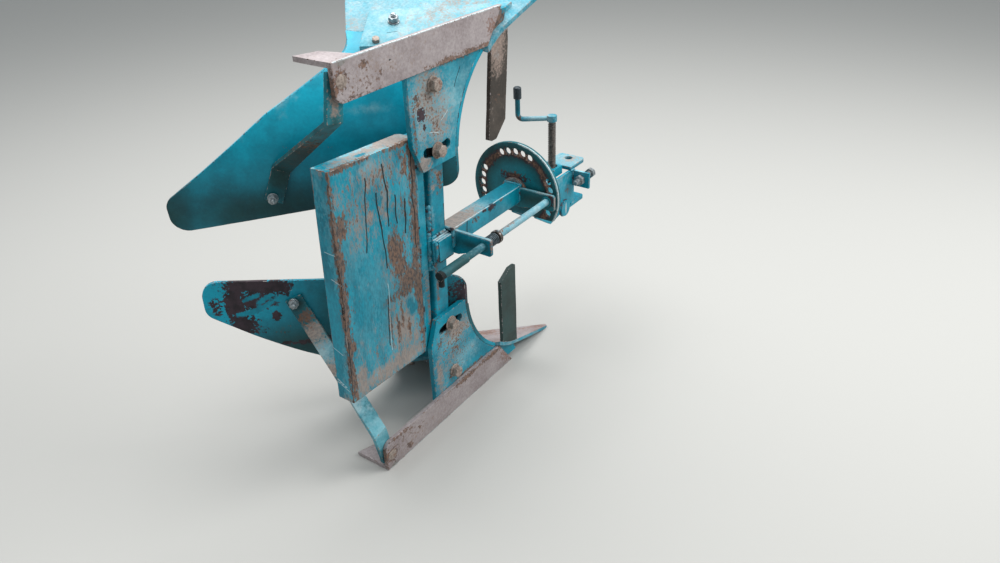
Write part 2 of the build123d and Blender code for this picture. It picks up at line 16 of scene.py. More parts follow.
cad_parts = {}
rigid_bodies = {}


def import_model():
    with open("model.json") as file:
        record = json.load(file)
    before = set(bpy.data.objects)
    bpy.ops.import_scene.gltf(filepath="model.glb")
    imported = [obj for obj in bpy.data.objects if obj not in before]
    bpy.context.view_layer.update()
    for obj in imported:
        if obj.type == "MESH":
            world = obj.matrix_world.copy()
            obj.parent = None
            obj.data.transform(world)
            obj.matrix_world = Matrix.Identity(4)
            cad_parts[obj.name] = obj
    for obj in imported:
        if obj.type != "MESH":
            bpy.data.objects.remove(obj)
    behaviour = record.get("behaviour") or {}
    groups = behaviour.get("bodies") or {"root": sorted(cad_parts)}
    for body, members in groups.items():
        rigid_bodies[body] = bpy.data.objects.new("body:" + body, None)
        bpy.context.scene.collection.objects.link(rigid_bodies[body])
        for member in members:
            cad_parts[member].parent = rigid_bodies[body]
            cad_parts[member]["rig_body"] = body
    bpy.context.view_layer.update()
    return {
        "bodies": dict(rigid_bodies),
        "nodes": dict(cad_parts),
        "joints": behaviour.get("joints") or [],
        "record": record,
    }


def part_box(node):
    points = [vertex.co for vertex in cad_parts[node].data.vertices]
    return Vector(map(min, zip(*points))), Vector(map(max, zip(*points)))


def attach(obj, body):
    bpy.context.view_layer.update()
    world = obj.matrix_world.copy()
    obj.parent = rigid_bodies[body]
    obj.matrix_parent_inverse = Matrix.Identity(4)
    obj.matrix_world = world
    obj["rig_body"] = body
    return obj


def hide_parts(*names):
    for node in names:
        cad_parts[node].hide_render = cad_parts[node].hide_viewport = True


LOG = logging.getLogger("tiller_plough")

SHIFT = Vector((-138.907, -117.902, 361.0))  # mm, from the drawing's frame to the row frame
NOISE_SEED = 11  # Blender seeds mathutils.noise by the clock, so without this each run has other dents
RUNNING_FIT = 0.0  # mm of dent on pieces that turn in each other with 0.05 mm of clearance
Socket = bpy.types.NodeSocket
Point = tuple[float, float, float]  # mm in the drawing frame, unless its name says otherwise


def at(x: float, y: float, z: float) -> Vector:
    """Gives a drawing point (mm) in the row frame (metres)."""
    return (Vector((x, y, z)) + SHIFT) / 1000.0


def linear(code: str) -> tuple[float, float, float, float]:
    """Turns an sRGB hex colour into the linear values that a shader takes.

    Args:
        code: six hex digits, such as "1f7f8f".

    Returns:
        Red, green, blue and a full alpha.
    """
    shares = [int(code[i : i + 2], 16) / 255 for i in (0, 2, 4)]
    curve = [s / 12.92 if s <= 0.04045 else ((s + 0.055) / 1.055) ** 2.4 for s in shares]
    return (*curve, 1.0)


def add_node(
    tree: bpy.types.NodeTree,
    kind: str,
    settings: dict[str | int, Any],
    links: dict[str | int, Socket] | None = None,
) -> bpy.types.Node:
    """Adds one shader node with its settings and links.

    Args:
        tree: the material's node tree.
        kind: the node's type, without its "ShaderNode" start.
        settings: attributes, or input names or numbers, with their values.
        links: input names or numbers, with the sockets that feed them.

    Returns:
        The new node.
    """
    made = tree.nodes.new("ShaderNode" + kind)
    for key, value in settings.items():
        if isinstance(key, str) and hasattr(made, key):
            setattr(made, key, value)
        else:
            made.inputs[key].default_value = value
    for key, socket in (links or {}).items():
        tree.links.new(socket, made.inputs[key])
    return made


# Coats


@dataclass(frozen=True)
class Coat:
    """One layer as the eye meets it: two tones, the size of their mottling, gloss and relief."""

    tone: str
    shade: str
    mottle: float  # mm across one patch of the second tone
    roughness: float
    metallic: float = 0.0
    relief: float = 0.0  # mm above or below the enamel
    grain: float = 0.03  # mm of fine relief in the layer


# Alkyd machine enamel, brushed over hot-rolled steel and left outdoors: deep teal, satin.
ENAMEL = Coat("00859a", "006d80", 70.0, 0.42)
# The same enamel behind the boards, where neither sun nor soil dulls it: clear blue-teal.
CLEAR_ENAMEL = Coat("0098b0", "00869c", 70.0, 0.36, grain=0.02)
# The same enamel where sun has chalked it: paler and matt.
CHALKED = Coat("5f9fab", "7db0ba", 20.0, 0.66, grain=0.04)
# Deep green, rather dull enamel: a damp film of soil on the index disc's ring, and painted shade on faces
# turned away from the light and in the shade of other parts.
DAMP_AND_SHADE = Coat("173b39", "142c29", 70.0, 0.62, grain=0.05)
# Enamel rubbed thin over its primer: pale blue; along the top of the lock rod it is a painted highlight.
PALE_WASH = Coat("74a2ad", "93abb0", 20.0, 0.60, grain=0.04)
# Dried clay on worn enamel: dusty pink-grey, quite matt.
CLAY = Coat("9d8b80", "7b6c63", 7.0, 0.93, relief=0.05, grain=0.08)
# Steel that soil, chains and hands rub bright: grey, half glossy.
BARE = Coat("9d9a98", "7f7873", 7.0, 0.46, metallic=0.75, relief=-0.1, grain=0.04)
# New rust at chips: brown-orange and matt.
FRESH_RUST = Coat("84604d", "63473a", 7.0, 0.90, relief=-0.1, grain=0.10)
# Old rust and clay where enamel came off in sheets: brown, matt, pitted.
OLD_RUST = Coat("7c604f", "41332d", 7.0, 0.92, relief=-0.18, grain=0.14)
# Mill scale under enamel that flaked lately: plum-black, smooth.
MILL_SCALE = Coat("40343a", "2e282c", 20.0, 0.66, metallic=0.2, relief=-0.12, grain=0.05)
# Open cracks in enamel, and painted shade in slots, grooves, gaps and under the lock rod: nearly black.
CREVICE = Coat("141b1c", "1d1815", 7.0, 0.85, relief=-0.35)
# Fresh scratches down to chalky primer, and painted highlights along lit top edges and rims: nearly white.
SCRATCHED = Coat("cddcdf", "b5c4c5", 7.0, 0.70)
# Field dust that rain leaves: pinkish grey, quite matt.
DUST = Coat("9c8d85", "83776f", 20.0, 0.95, grain=0.05)
# Ploughshare steel, scoured by soil and then left in the rain: pinkish grey, half bright.
SCOURED = Coat("a59b9b", "968b8b", 70.0, 0.50, metallic=0.45, grain=0.04)
# Forged bars with a burnt oxide skin: brown-black, faintly green.
OXIDE = Coat("4b433c", "39332d", 70.0, 0.64, metallic=0.3, grain=0.06)
# Zinc on bolts, gone dull: pale grey with a soft shine.
ZINC = Coat("9ca3a5", "787f82", 7.0, 0.42, metallic=0.7, grain=0.02)
# Mineral grease with soot on a steel thread: black-brown and wet.
GREASE = Coat("6e6862", "45413d", 7.0, 0.34, metallic=0.3, grain=0.05)
# Cold-drawn spring wire under old oil: blue-grey, half bright.
SPRING_WIRE = Coat("59656b", "3a4448", 7.0, 0.42, metallic=0.6, grain=0.02)
# Hexagon bolts with rust and clay in their corners: brown-grey, dull.
DUSTY = Coat("a3968c", "766960", 7.0, 0.60, metallic=0.35, grain=0.05)
# The same enamel darkened as painted shade, for faces that stay in the shade of others: deep green-teal.
SHADED = Coat("08707c", "08505a", 70.0, 0.48)
# Polyethylene cap: blue-black, softly shining.
CAP = Coat("1d2c33", "17232a", 7.0, 0.42, grain=0.03)


class Mark(Enum):
    """Kinds of located wear and of painted light and shade, from the lowest up (only SCOUR lies on top); each
    is a field on the meshes.
    """

    SCOUR = "scoured_by_soil"
    SUN = "chalked_by_sun"
    # a damp soil film in places, and painted shade on faces turned away from the light
    DAMP_AND_SHADE = "damp_film_and_painted_shade"
    # rubbed-thin enamel, and once a painted highlight along the lock rod's top
    WASH_AND_HIGHLIGHT = "rubbed_thin_and_painted_highlight"
    CLAY = "dried_clay"
    BARE = "rubbed_bare"
    SCALE = "flaked_to_mill_scale"
    OLD = "old_rust"
    FRESH = "fresh_rust"
    KEPT = "kept_enamel"
    # real cracks, and painted shade in slots, grooves and gaps
    CRACK_AND_SHADE = "open_crack_and_painted_shade"
    # real scratches, and painted highlights along lit top edges and rims
    SCRATCH_AND_HIGHLIGHT = "white_scratch_and_painted_highlight"


@dataclass(frozen=True)
class MarkLook:
    """How one kind of wear, or of painted light and shade, looks and how its border runs."""

    coat: Coat
    torn: float  # how far a slow noise pushes the border in and out, as a share of the reach
    specks: float  # how far a fine noise breaks it up
    tongue: float  # mm across one tongue of the border
    soft: float  # half-width of the border
    cover: float = 1.0  # how much of what is below it hides
    raised: bool = False  # its relief shows
    line: bool = False  # long marks are drawn as fine lines


LEVEL = 0.5  # value of a field on its border

MARK_LOOKS = {
    Mark.SCOUR: MarkLook(SCOURED, 0.5, 0.1, 70.0, 0.12),
    Mark.SUN: MarkLook(CHALKED, 0.7, 0.3, 20.0, 0.30, 0.8),
    Mark.DAMP_AND_SHADE: MarkLook(DAMP_AND_SHADE, 0.25, 0.0, 70.0, 0.44, 0.92),
    Mark.WASH_AND_HIGHLIGHT: MarkLook(PALE_WASH, 0.9, 0.8, 20.0, 0.30, 0.75),
    Mark.CLAY: MarkLook(CLAY, 0.9, 1.3, 20.0, 0.22, 0.85),
    Mark.BARE: MarkLook(BARE, 0.6, 0.6, 20.0, 0.10),
    Mark.SCALE: MarkLook(MILL_SCALE, 0.6, 1.2, 20.0, 0.03, raised=True),
    Mark.OLD: MarkLook(OLD_RUST, 0.6, 1.5, 20.0, 0.12, 0.92, raised=True),
    Mark.FRESH: MarkLook(FRESH_RUST, 0.6, 1.4, 20.0, 0.14, 0.85),
    Mark.KEPT: MarkLook(ENAMEL, 1.0, 1.2, 20.0, 0.14, raised=True),
    Mark.CRACK_AND_SHADE: MarkLook(CREVICE, 0.9, 0.0, 7.0, 0.20, 0.95, raised=True, line=True),
    Mark.SCRATCH_AND_HIGHLIGHT: MarkLook(SCRATCHED, 1.8, 0.0, 7.0, 0.35, 0.65, line=True),
}


@dataclass(frozen=True)
class Spot:
    """One egg-shaped region of wear, or of painted light and shade."""

    kind: Mark
    centre: Point
    reach: Point  # mm, half-axes
    strength: float = 1.0  # below 1 it breaks up into patches

    def field(self, points: np.ndarray, stray: np.ndarray) -> np.ndarray:
        """Gives the wear at each point, from 1 in the middle through the border to 0.

        Args:
            points: n by 3, mm.
            stray: n by 3, a slow random field that bends long marks; not used.

        Returns:
            One value for each point.
        """
        far = np.linalg.norm((points - self.centre) / self.reach, axis=1)
        return self.strength * np.clip(1 - far * LEVEL, 0, 1)

    def side(self, points: np.ndarray, stray: np.ndarray, normals: np.ndarray) -> np.ndarray:
        """Gives how far each point is beside the mark, in half-widths: none inside a spot."""
        return np.where(self.field(points, stray) > 0, 0.0, 9.0)


@dataclass(frozen=True)
class Scar:
    """A long narrow mark, such as a crack in the enamel or a scratch."""

    kind: Mark
    start: Point
    end: Point
    width: float  # mm
    wander: float = 3.0  # mm that it strays from its line

    def field(self, points: np.ndarray, stray: np.ndarray) -> np.ndarray:
        """Gives the wear at each point, from 1 on the line through the border to 0.

        Args:
            points: n by 3, mm.
            stray: n by 3, a slow random field that bends long marks.

        Returns:
            One value for each point.
        """
        away, run = self._away(points, stray)
        share = np.clip(away @ run / (run @ run), 0, 1)
        far = np.linalg.norm(away - share[:, None] * run, axis=1) / (self.width * 0.5 + 3.0)
        return np.clip(1 - far * LEVEL, 0, 1)

    def side(self, points: np.ndarray, stray: np.ndarray, normals: np.ndarray) -> np.ndarray:
        """Gives how far each point is beside the line, in half-widths, with a sign for its side.

        Args:
            points: n by 3, mm.
            stray: n by 3, a slow random field that bends long marks.
            normals: n by 3, the surface's.

        Returns:
            One value for each point; it passes through 0 on the line, also between coarse points.
        """
        away, run = self._away(points, stray)
        across = np.cross(run, normals)
        across /= np.maximum(np.linalg.norm(across, axis=1, keepdims=True), 1e-6)
        return np.sum(away * across, axis=1) / (self.width * 0.5)

    def _away(self, points: np.ndarray, stray: np.ndarray) -> tuple[np.ndarray, np.ndarray]:
        """Gives each point seen from the line's start, and the line."""
        start = np.array(self.start)
        return points + stray * self.wander - start, np.array(self.end) - start


Marks = tuple[Spot | Scar, ...]


def spots(kind: Mark, *rows: tuple[float, ...]) -> Marks:
    """Gives spots of one kind.

    Args:
        kind: their kind of wear.
        rows: for each the centre x, y, z and the reach x, y, z, mm, then the strength if it isn't 1.

    Returns:
        The spots.
    """
    return tuple(Spot(kind, row[:3], row[3:6], *row[6:]) for row in rows)


def scars(kind: Mark, *rows: tuple[float, ...]) -> Marks:
    """Gives long marks of one kind.

    Args:
        kind: their kind of wear.
        rows: for each the start x, y, z, the end x, y, z and the width, mm, then the wander if it isn't 3.

    Returns:
        The long marks.
    """
    return tuple(Scar(kind, row[:3], row[3:6], *row[6:]) for row in rows)


def flipped(point: Point, sign: int = -1) -> Point:
    """Gives a point or direction of the upper body on the body of that sign: 1 upper, -1 lower."""
    return (point[0], point[1], point[2] * sign)


def mirrored(marks: Marks) -> Marks:
    """Gives the same marks on the other body, below the turnover axis."""
    return tuple(
        replace(mark, centre=flipped(mark.centre))
        if isinstance(mark, Spot)
        else replace(mark, start=flipped(mark.start), end=flipped(mark.end))
        for mark in marks
    )


# Finishes


class Layup:
    """A material's node tree while its coats are laid one over the other."""

    CLOUDS = (4.5, 20.0, 70.0)  # mm, the sizes of the shared noises
    LINE_END = 0.05  # how softly a fine line fades out at its ends
    GRIT = 1.8  # mm: real rust grit and brush marks are finer, drawn this coarse so that they show

    def __init__(self, name: str, drawn: Point = (1.0, 1.0, 1.0)) -> None:
        """Starts an empty material.

        Args:
            name: the material's name.
            drawn: how far its clouds are drawn out along each axis.
        """
        self.material = bpy.data.materials.new(name)
        self.material.use_nodes = True
        self.tree = self.material.node_tree
        self.shader = self.tree.nodes["Principled BSDF"]
        self.place = add_node(self.tree, "TexCoord", {}).outputs["Object"]
        self.drawn = drawn
        self.shared: dict[float, list[Socket]] = {}
        self.turn = 0
        self.layers: dict[str, Any] = {}

    def cloud(self, size: float) -> Socket:
        """Gives one of the shared noises, of the size that is nearest; three of a size differ.

        Args:
            size: mm across one cloud.

        Returns:
            The noise, about 0.3 to 0.7.
        """
        near = min(self.CLOUDS, key=lambda kept: abs(math.log(kept / size)))
        if near not in self.shared:
            scale = [1000.0 / near / share for share in self.drawn]
            shift = (near, -near, near / 3)  # so that two sizes don't share their middle
            settings = {"operation": "MULTIPLY_ADD", 1: scale, 2: shift}
            moved = add_node(self.tree, "VectorMath", settings, {0: self.place})
            settings = {"Scale": 1.0, "Detail": 5.0, "Roughness": 0.62}
            made = add_node(self.tree, "TexNoise", settings, {"Vector": moved.outputs[0]})
            parts = add_node(self.tree, "SeparateColor", {}, {0: made.outputs["Color"]})
            self.shared[near] = list(parts.outputs)
        self.turn += 1
        return self.shared[near][self.turn % 3]

    def cut(self, pattern: Socket, low: float, high: float) -> Socket:
        """Turns a pattern into a mask that rises from 0 at low to 1 at high (or falls, if low is more)."""
        settings = {"interpolation_type": "SMOOTHSTEP", "From Min": low, "From Max": high}
        return add_node(self.tree, "MapRange", settings, {"Value": pattern}).outputs["Result"]

    def cover(
        self, pattern: Socket, share: float, low: float, high: float, pull: float = 0.3
    ) -> Socket:
        """Cuts a pattern so that a larger share hides more.

        Args:
            pattern: what is cut.
            share: how much is hidden, 0 to 1.
            low: where the mask starts to rise at a share of 0.
            high: where it is full at a share of 0.
            pull: how far both fall at a share of 1.

        Returns:
            The mask.
        """
        return self.cut(pattern, low - pull * share, high - pull * share)

    def math(self, operation: str, *values: Socket | float) -> Socket:
        """Adds one arithmetic node; each value is a socket or a number."""
        settings: dict[str | int, Any] = {"operation": operation}
        links: dict[str | int, Any] = {}
        for place, value in enumerate(values):
            (settings if isinstance(value, (int, float)) else links)[place] = value
        return add_node(self.tree, "Math", settings, links).outputs[0]

    def blend(self, pattern: Socket, gain: float, other: Socket) -> Socket:
        """Adds gain times the pattern, less its middle value of 0.5, to another value."""
        return self.math("ADD", self.math("MULTIPLY_ADD", pattern, gain, -gain / 2), other)

    def times(self, mask: Socket, other: Socket | float) -> Socket:
        """Multiplies two masks, or a mask and a number."""
        return self.math("MULTIPLY", mask, other)

    def field(self, name: str) -> Socket:
        """Reads a field of the mesh; a mesh without it gives 0."""
        return add_node(self.tree, "Attribute", {"attribute_name": name}).outputs["Fac"]

    def mark(self, kind: Mark) -> None:
        """Lays one kind of located wear, or of painted light and shade, over what is there."""
        look = MARK_LOOKS[kind]
        field = self.field(kind.value)
        if look.line:
            beside = self.math("ABSOLUTE", self.field(kind.value + "_side"))
            pushed = self.blend(self.cloud(look.tongue), look.torn, beside)
            line = self.cut(pushed, 1 + look.soft, 1 - look.soft)
            mask = self.times(line, self.cut(field, LEVEL - self.LINE_END, LEVEL + self.LINE_END))
        else:
            pushed = self.blend(self.cloud(look.tongue), look.torn, field)
            pushed = self.blend(self.cloud(7.0), look.specks, pushed)
            mask = self.cut(pushed, LEVEL - look.soft, LEVEL + look.soft)
        self.lay(look.coat, self.times(mask, look.cover), look.raised)

    def lay(self, coat: Coat, mask: Socket | None = None, raised: bool = False) -> None:
        """Lays one coat over what is there.

        Args:
            coat: the layer.
            mask: where it lies; everywhere if left out.
            raised: its relief and grain show too.
        """
        tone = add_node(
            self.tree,
            "Mix",
            {"data_type": "RGBA", 6: linear(coat.tone), 7: linear(coat.shade)},
            {0: self.cut(self.cloud(coat.mottle), 0.40, 0.62)},
        ).outputs[2]
        numbers = {
            "Roughness": coat.roughness,
            "Metallic": coat.metallic,
            "Relief": coat.relief,
            "Grain": coat.grain,
        }
        if mask is None:
            self.layers = {"Base Color": tone, **numbers}
            return
        colours = {0: mask, 6: self.layers["Base Color"], 7: tone}
        self.layers["Base Color"] = add_node(self.tree, "Mix", {"data_type": "RGBA"}, colours).outputs[2]
        for name, value in numbers.items():
            below = self.layers[name]
            if below == value or (name in ("Relief", "Grain") and not raised):
                continue
            settings, links = {"data_type": "FLOAT", 3: value}, {0: mask}
            (settings if isinstance(below, float) else links)[2] = below
            self.layers[name] = add_node(self.tree, "Mix", settings, links).outputs[0]

    def close(self, speckle: float) -> bpy.types.Material:
        """Wires the coats to the shader.

        Args:
            speckle: how strong the fine unevenness of all tones is.

        Returns:
            The material.
        """
        tint = add_node(
            self.tree,
            "Mix",
            {"data_type": "RGBA", "blend_type": "SOFT_LIGHT", 0: speckle},
            {6: self.layers["Base Color"], 7: self.cut(self.cloud(7.0), 0.22, 0.78)},
        )
        self.tree.links.new(tint.outputs[2], self.shader.inputs["Base Color"])
        rough = self.layers["Roughness"]
        if isinstance(rough, float):
            rough = self.math("MULTIPLY_ADD", self.cloud(20.0), 0.3, rough - 0.15)
        else:
            rough = self.blend(self.cloud(20.0), 0.3, rough)
        self.tree.links.new(rough, self.shader.inputs["Roughness"])
        metal = self.layers["Metallic"]
        if isinstance(metal, float):
            self.shader.inputs["Metallic"].default_value = metal
        else:
            self.tree.links.new(metal, self.shader.inputs["Metallic"])
        settings = {"operation": "SCALE", "Scale": 1000.0 / self.GRIT}
        spread = add_node(self.tree, "VectorMath", settings, {0: self.place})
        fine = {"Scale": 1.0, "Detail": 2.0}
        grit = add_node(self.tree, "TexNoise", fine, {"Vector": spread.outputs[0]}).outputs["Fac"]
        grain = self.layers["Grain"]
        grain = grain * 2 if isinstance(grain, float) else self.times(grain, 2.0)
        height = self.math("MULTIPLY_ADD", grit, grain, self.layers["Relief"])
        bump = add_node(self.tree, "Bump", {"Distance": 0.001, "Strength": 0.9}, {"Height": height})
        self.tree.links.new(bump.outputs[0], self.shader.inputs["Normal"])
        return self.material


PAINT_MARKS = tuple(kind for kind in Mark if kind is not Mark.SCOUR)


@dataclass(frozen=True)
class WeatheredSteel:
    """Rolled, forged or turned steel under its coats of enamel, oxide, rust and soil."""

    name: str
    base: Coat = ENAMEL
    sun: float = 0.0  # share of the faces that look up that is chalked
    dust: float = 0.0  # share of all faces under a film of dust
    bloom: float = 0.0  # share of all faces with new rust
    flakes: float = 0.0  # share of all faces that lost their enamel
    chips: float = 0.0  # share of the edges that lost it
    pepper: float = 0.0  # share of all faces with small brown pits
    speckle: float = 0.2  # strength of the fine unevenness of all tones
    chip: Coat = FRESH_RUST
    marks: tuple[Mark, ...] = ()
    drawn: Point = (1.0, 1.0, 1.0)
    ior: float = 1.5

    def material(self) -> bpy.types.Material:
        """Builds the finish's material."""
        layup = Layup(self.name, self.drawn)
        layup.shader.inputs["IOR"].default_value = self.ior
        layup.lay(self.base)
        if self.sun:
            sky = layup.field("sky")
            layup.lay(CHALKED, layup.times(sky, layup.cover(layup.cloud(70.0), self.sun, 0.66, 0.80)))
        if self.dust:
            layup.lay(DUST, layup.times(layup.cover(layup.cloud(20.0), self.dust, 0.66, 0.86), 0.6))
        if self.bloom:
            layup.lay(FRESH_RUST, layup.times(layup.cover(layup.cloud(20.0), self.bloom, 0.68, 0.76), 0.85))
        if self.flakes:
            layup.lay(MILL_SCALE, layup.cover(layup.cloud(20.0), self.flakes, 0.66, 0.675, 0.25), True)
        if self.pepper:
            clustered = layup.blend(layup.cloud(70.0), 1.0, layup.cloud(4.5))
            layup.lay(OLD_RUST, layup.times(layup.cover(clustered, self.pepper, 0.82, 0.90), 0.8))
        for kind in self.marks:
            layup.mark(kind)
        if Mark.SCOUR in self.marks:  # scoured faces rust first: small brown freckles in clusters
            bright = layup.field(Mark.SCOUR.value)
            freckles = layup.cut(layup.blend(layup.cloud(70.0), 1.4, layup.cloud(4.5)), 0.50, 0.74)
            layup.lay(FRESH_RUST, layup.times(layup.times(bright, freckles), 0.8))
        if self.chips:
            pushed = layup.blend(layup.cloud(7.0), 1.3, layup.field("edge"))
            layup.lay(self.chip, layup.cover(pushed, self.chips, 1.10, 1.16))
            rubbed = layup.blend(layup.cloud(20.0), 1.3, layup.field("edge"))
            layup.lay(BARE, layup.cover(rubbed, self.chips, 1.18, 1.24))
        return layup.close(self.speckle)


class Finishes:
    """Every material of the plough, made once and shared."""

    def __init__(self) -> None:
        """Builds the finishes."""
        enamel = WeatheredSteel(
            "brushed_alkyd_enamel", sun=0.4, dust=0.1, chips=0.3, chip=CLAY, pepper=0.35,
            marks=PAINT_MARKS, ior=1.36,
        )
        self.enamel = enamel.material()
        # a darker copy of the enamel: painted shade on the disc, the front lug, the bushings and the braces
        shaded = replace(enamel, name="enamel_darkened_as_painted_shade", base=SHADED, sun=0.1, dust=0.0)
        self.shaded = shaded.material()
        self.slab = replace(
            enamel, name="flaked_enamel_on_rolled_plate", sun=0.9, dust=0.3, chips=0.6, chip=OLD_RUST,
            pepper=0.62, speckle=0.3, drawn=(0.7, 1.0, 1.8),
        ).material()
        self.board = replace(
            enamel, name="satin_enamel_on_pressed_sheet", base=CLEAR_ENAMEL, sun=0.2, dust=0.0, chips=0.5,
            chip=MILL_SCALE, pepper=0.2, speckle=0.12,
            marks=(Mark.SUN, Mark.DAMP_AND_SHADE, Mark.WASH_AND_HIGHLIGHT, Mark.SCALE, Mark.KEPT, Mark.SCRATCH_AND_HIGHLIGHT, Mark.SCOUR),
        ).material()
        weld = WeatheredSteel("enamel_over_weld_beads", sun=0.5, dust=0.5, bloom=0.3, flakes=0.4)
        self.weld = weld.material()
        self.share = replace(
            enamel, name="enamel_on_share_steel", sun=0.2, dust=0.25, speckle=0.3,
            marks=(*PAINT_MARKS, Mark.SCOUR),
        ).material()
        soil = (Mark.WASH_AND_HIGHLIGHT, Mark.CLAY, Mark.BARE, Mark.OLD, Mark.FRESH, Mark.CRACK_AND_SHADE, Mark.SCRATCH_AND_HIGHLIGHT)
        self.scoured = WeatheredSteel(
            "soil_scoured_share_steel", SCOURED, dust=0.25, chips=0.35, chip=OLD_RUST,
            pepper=0.3, speckle=0.3, marks=soil,
        ).material()
        self.oxide = WeatheredSteel(
            "forged_bar_with_oxide", OXIDE, dust=0.3, chips=0.25, chip=SCOURED, pepper=0.2,
            marks=(Mark.DAMP_AND_SHADE, *soil),
        ).material()
        self.rusted = WeatheredSteel(
            "rusted_turned_steel", BARE, bloom=0.75, chips=0.3, chip=OLD_RUST, marks=soil
        ).material()
        self.zinc = WeatheredSteel("dull_zinc_plated_steel", ZINC, dust=0.3, bloom=0.2).material()
        self.dusty_bolt = WeatheredSteel("rust_bloomed_bolt_steel", DUSTY, bloom=0.35).material()
        self.grease = WeatheredSteel("greased_screw_steel", GREASE, dust=0.2).material()
        self.spring = WeatheredSteel("oiled_spring_wire", SPRING_WIRE, dust=0.2).material()
        self.cap = WeatheredSteel("moulded_polyethylene", CAP).material()


# Mesh work


def add_sky(data: bpy.types.Mesh) -> None:
    """Notes on each face how far it looks up at rest, for the chalking that sun gives."""
    normals = np.zeros(len(data.polygons) * 3, dtype=np.float32)
    data.polygons.foreach_get("normal", normals)
    facing = np.clip(normals[2::3] * 0.8 + 0.2, 0, 1)  # upright faces still get a fifth
    data.attributes.new("sky", "FLOAT", "FACE").data.foreach_set("value", facing)


def link_piece(
    name: str,
    data: bpy.types.Mesh,
    finish: bpy.types.Material,
    body: str,
    stands_for: Sequence[str],
    smooth: float,
) -> bpy.types.Object:
    """Turns mesh data into a piece that rides on its body.

    Args:
        name: the piece's name.
        data: its mesh, in the row frame.
        finish: its material.
        body: the body it moves with.
        stands_for: nodes that it replaces.
        smooth: degrees below which an edge is shaded smooth.

    Returns:
        The piece.
    """
    data.shade_smooth()
    data.set_sharp_from_angle(angle=math.radians(smooth))
    add_sky(data)
    data.materials.clear()
    data.materials.append(finish)
    piece = bpy.data.objects.new(name, data)
    bpy.context.scene.collection.objects.link(piece)
    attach(piece, body)
    if stands_for:
        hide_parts(*stands_for)
    LOG.info("piece %s: %d faces, %s", name, len(data.polygons), finish.name)
    return piece


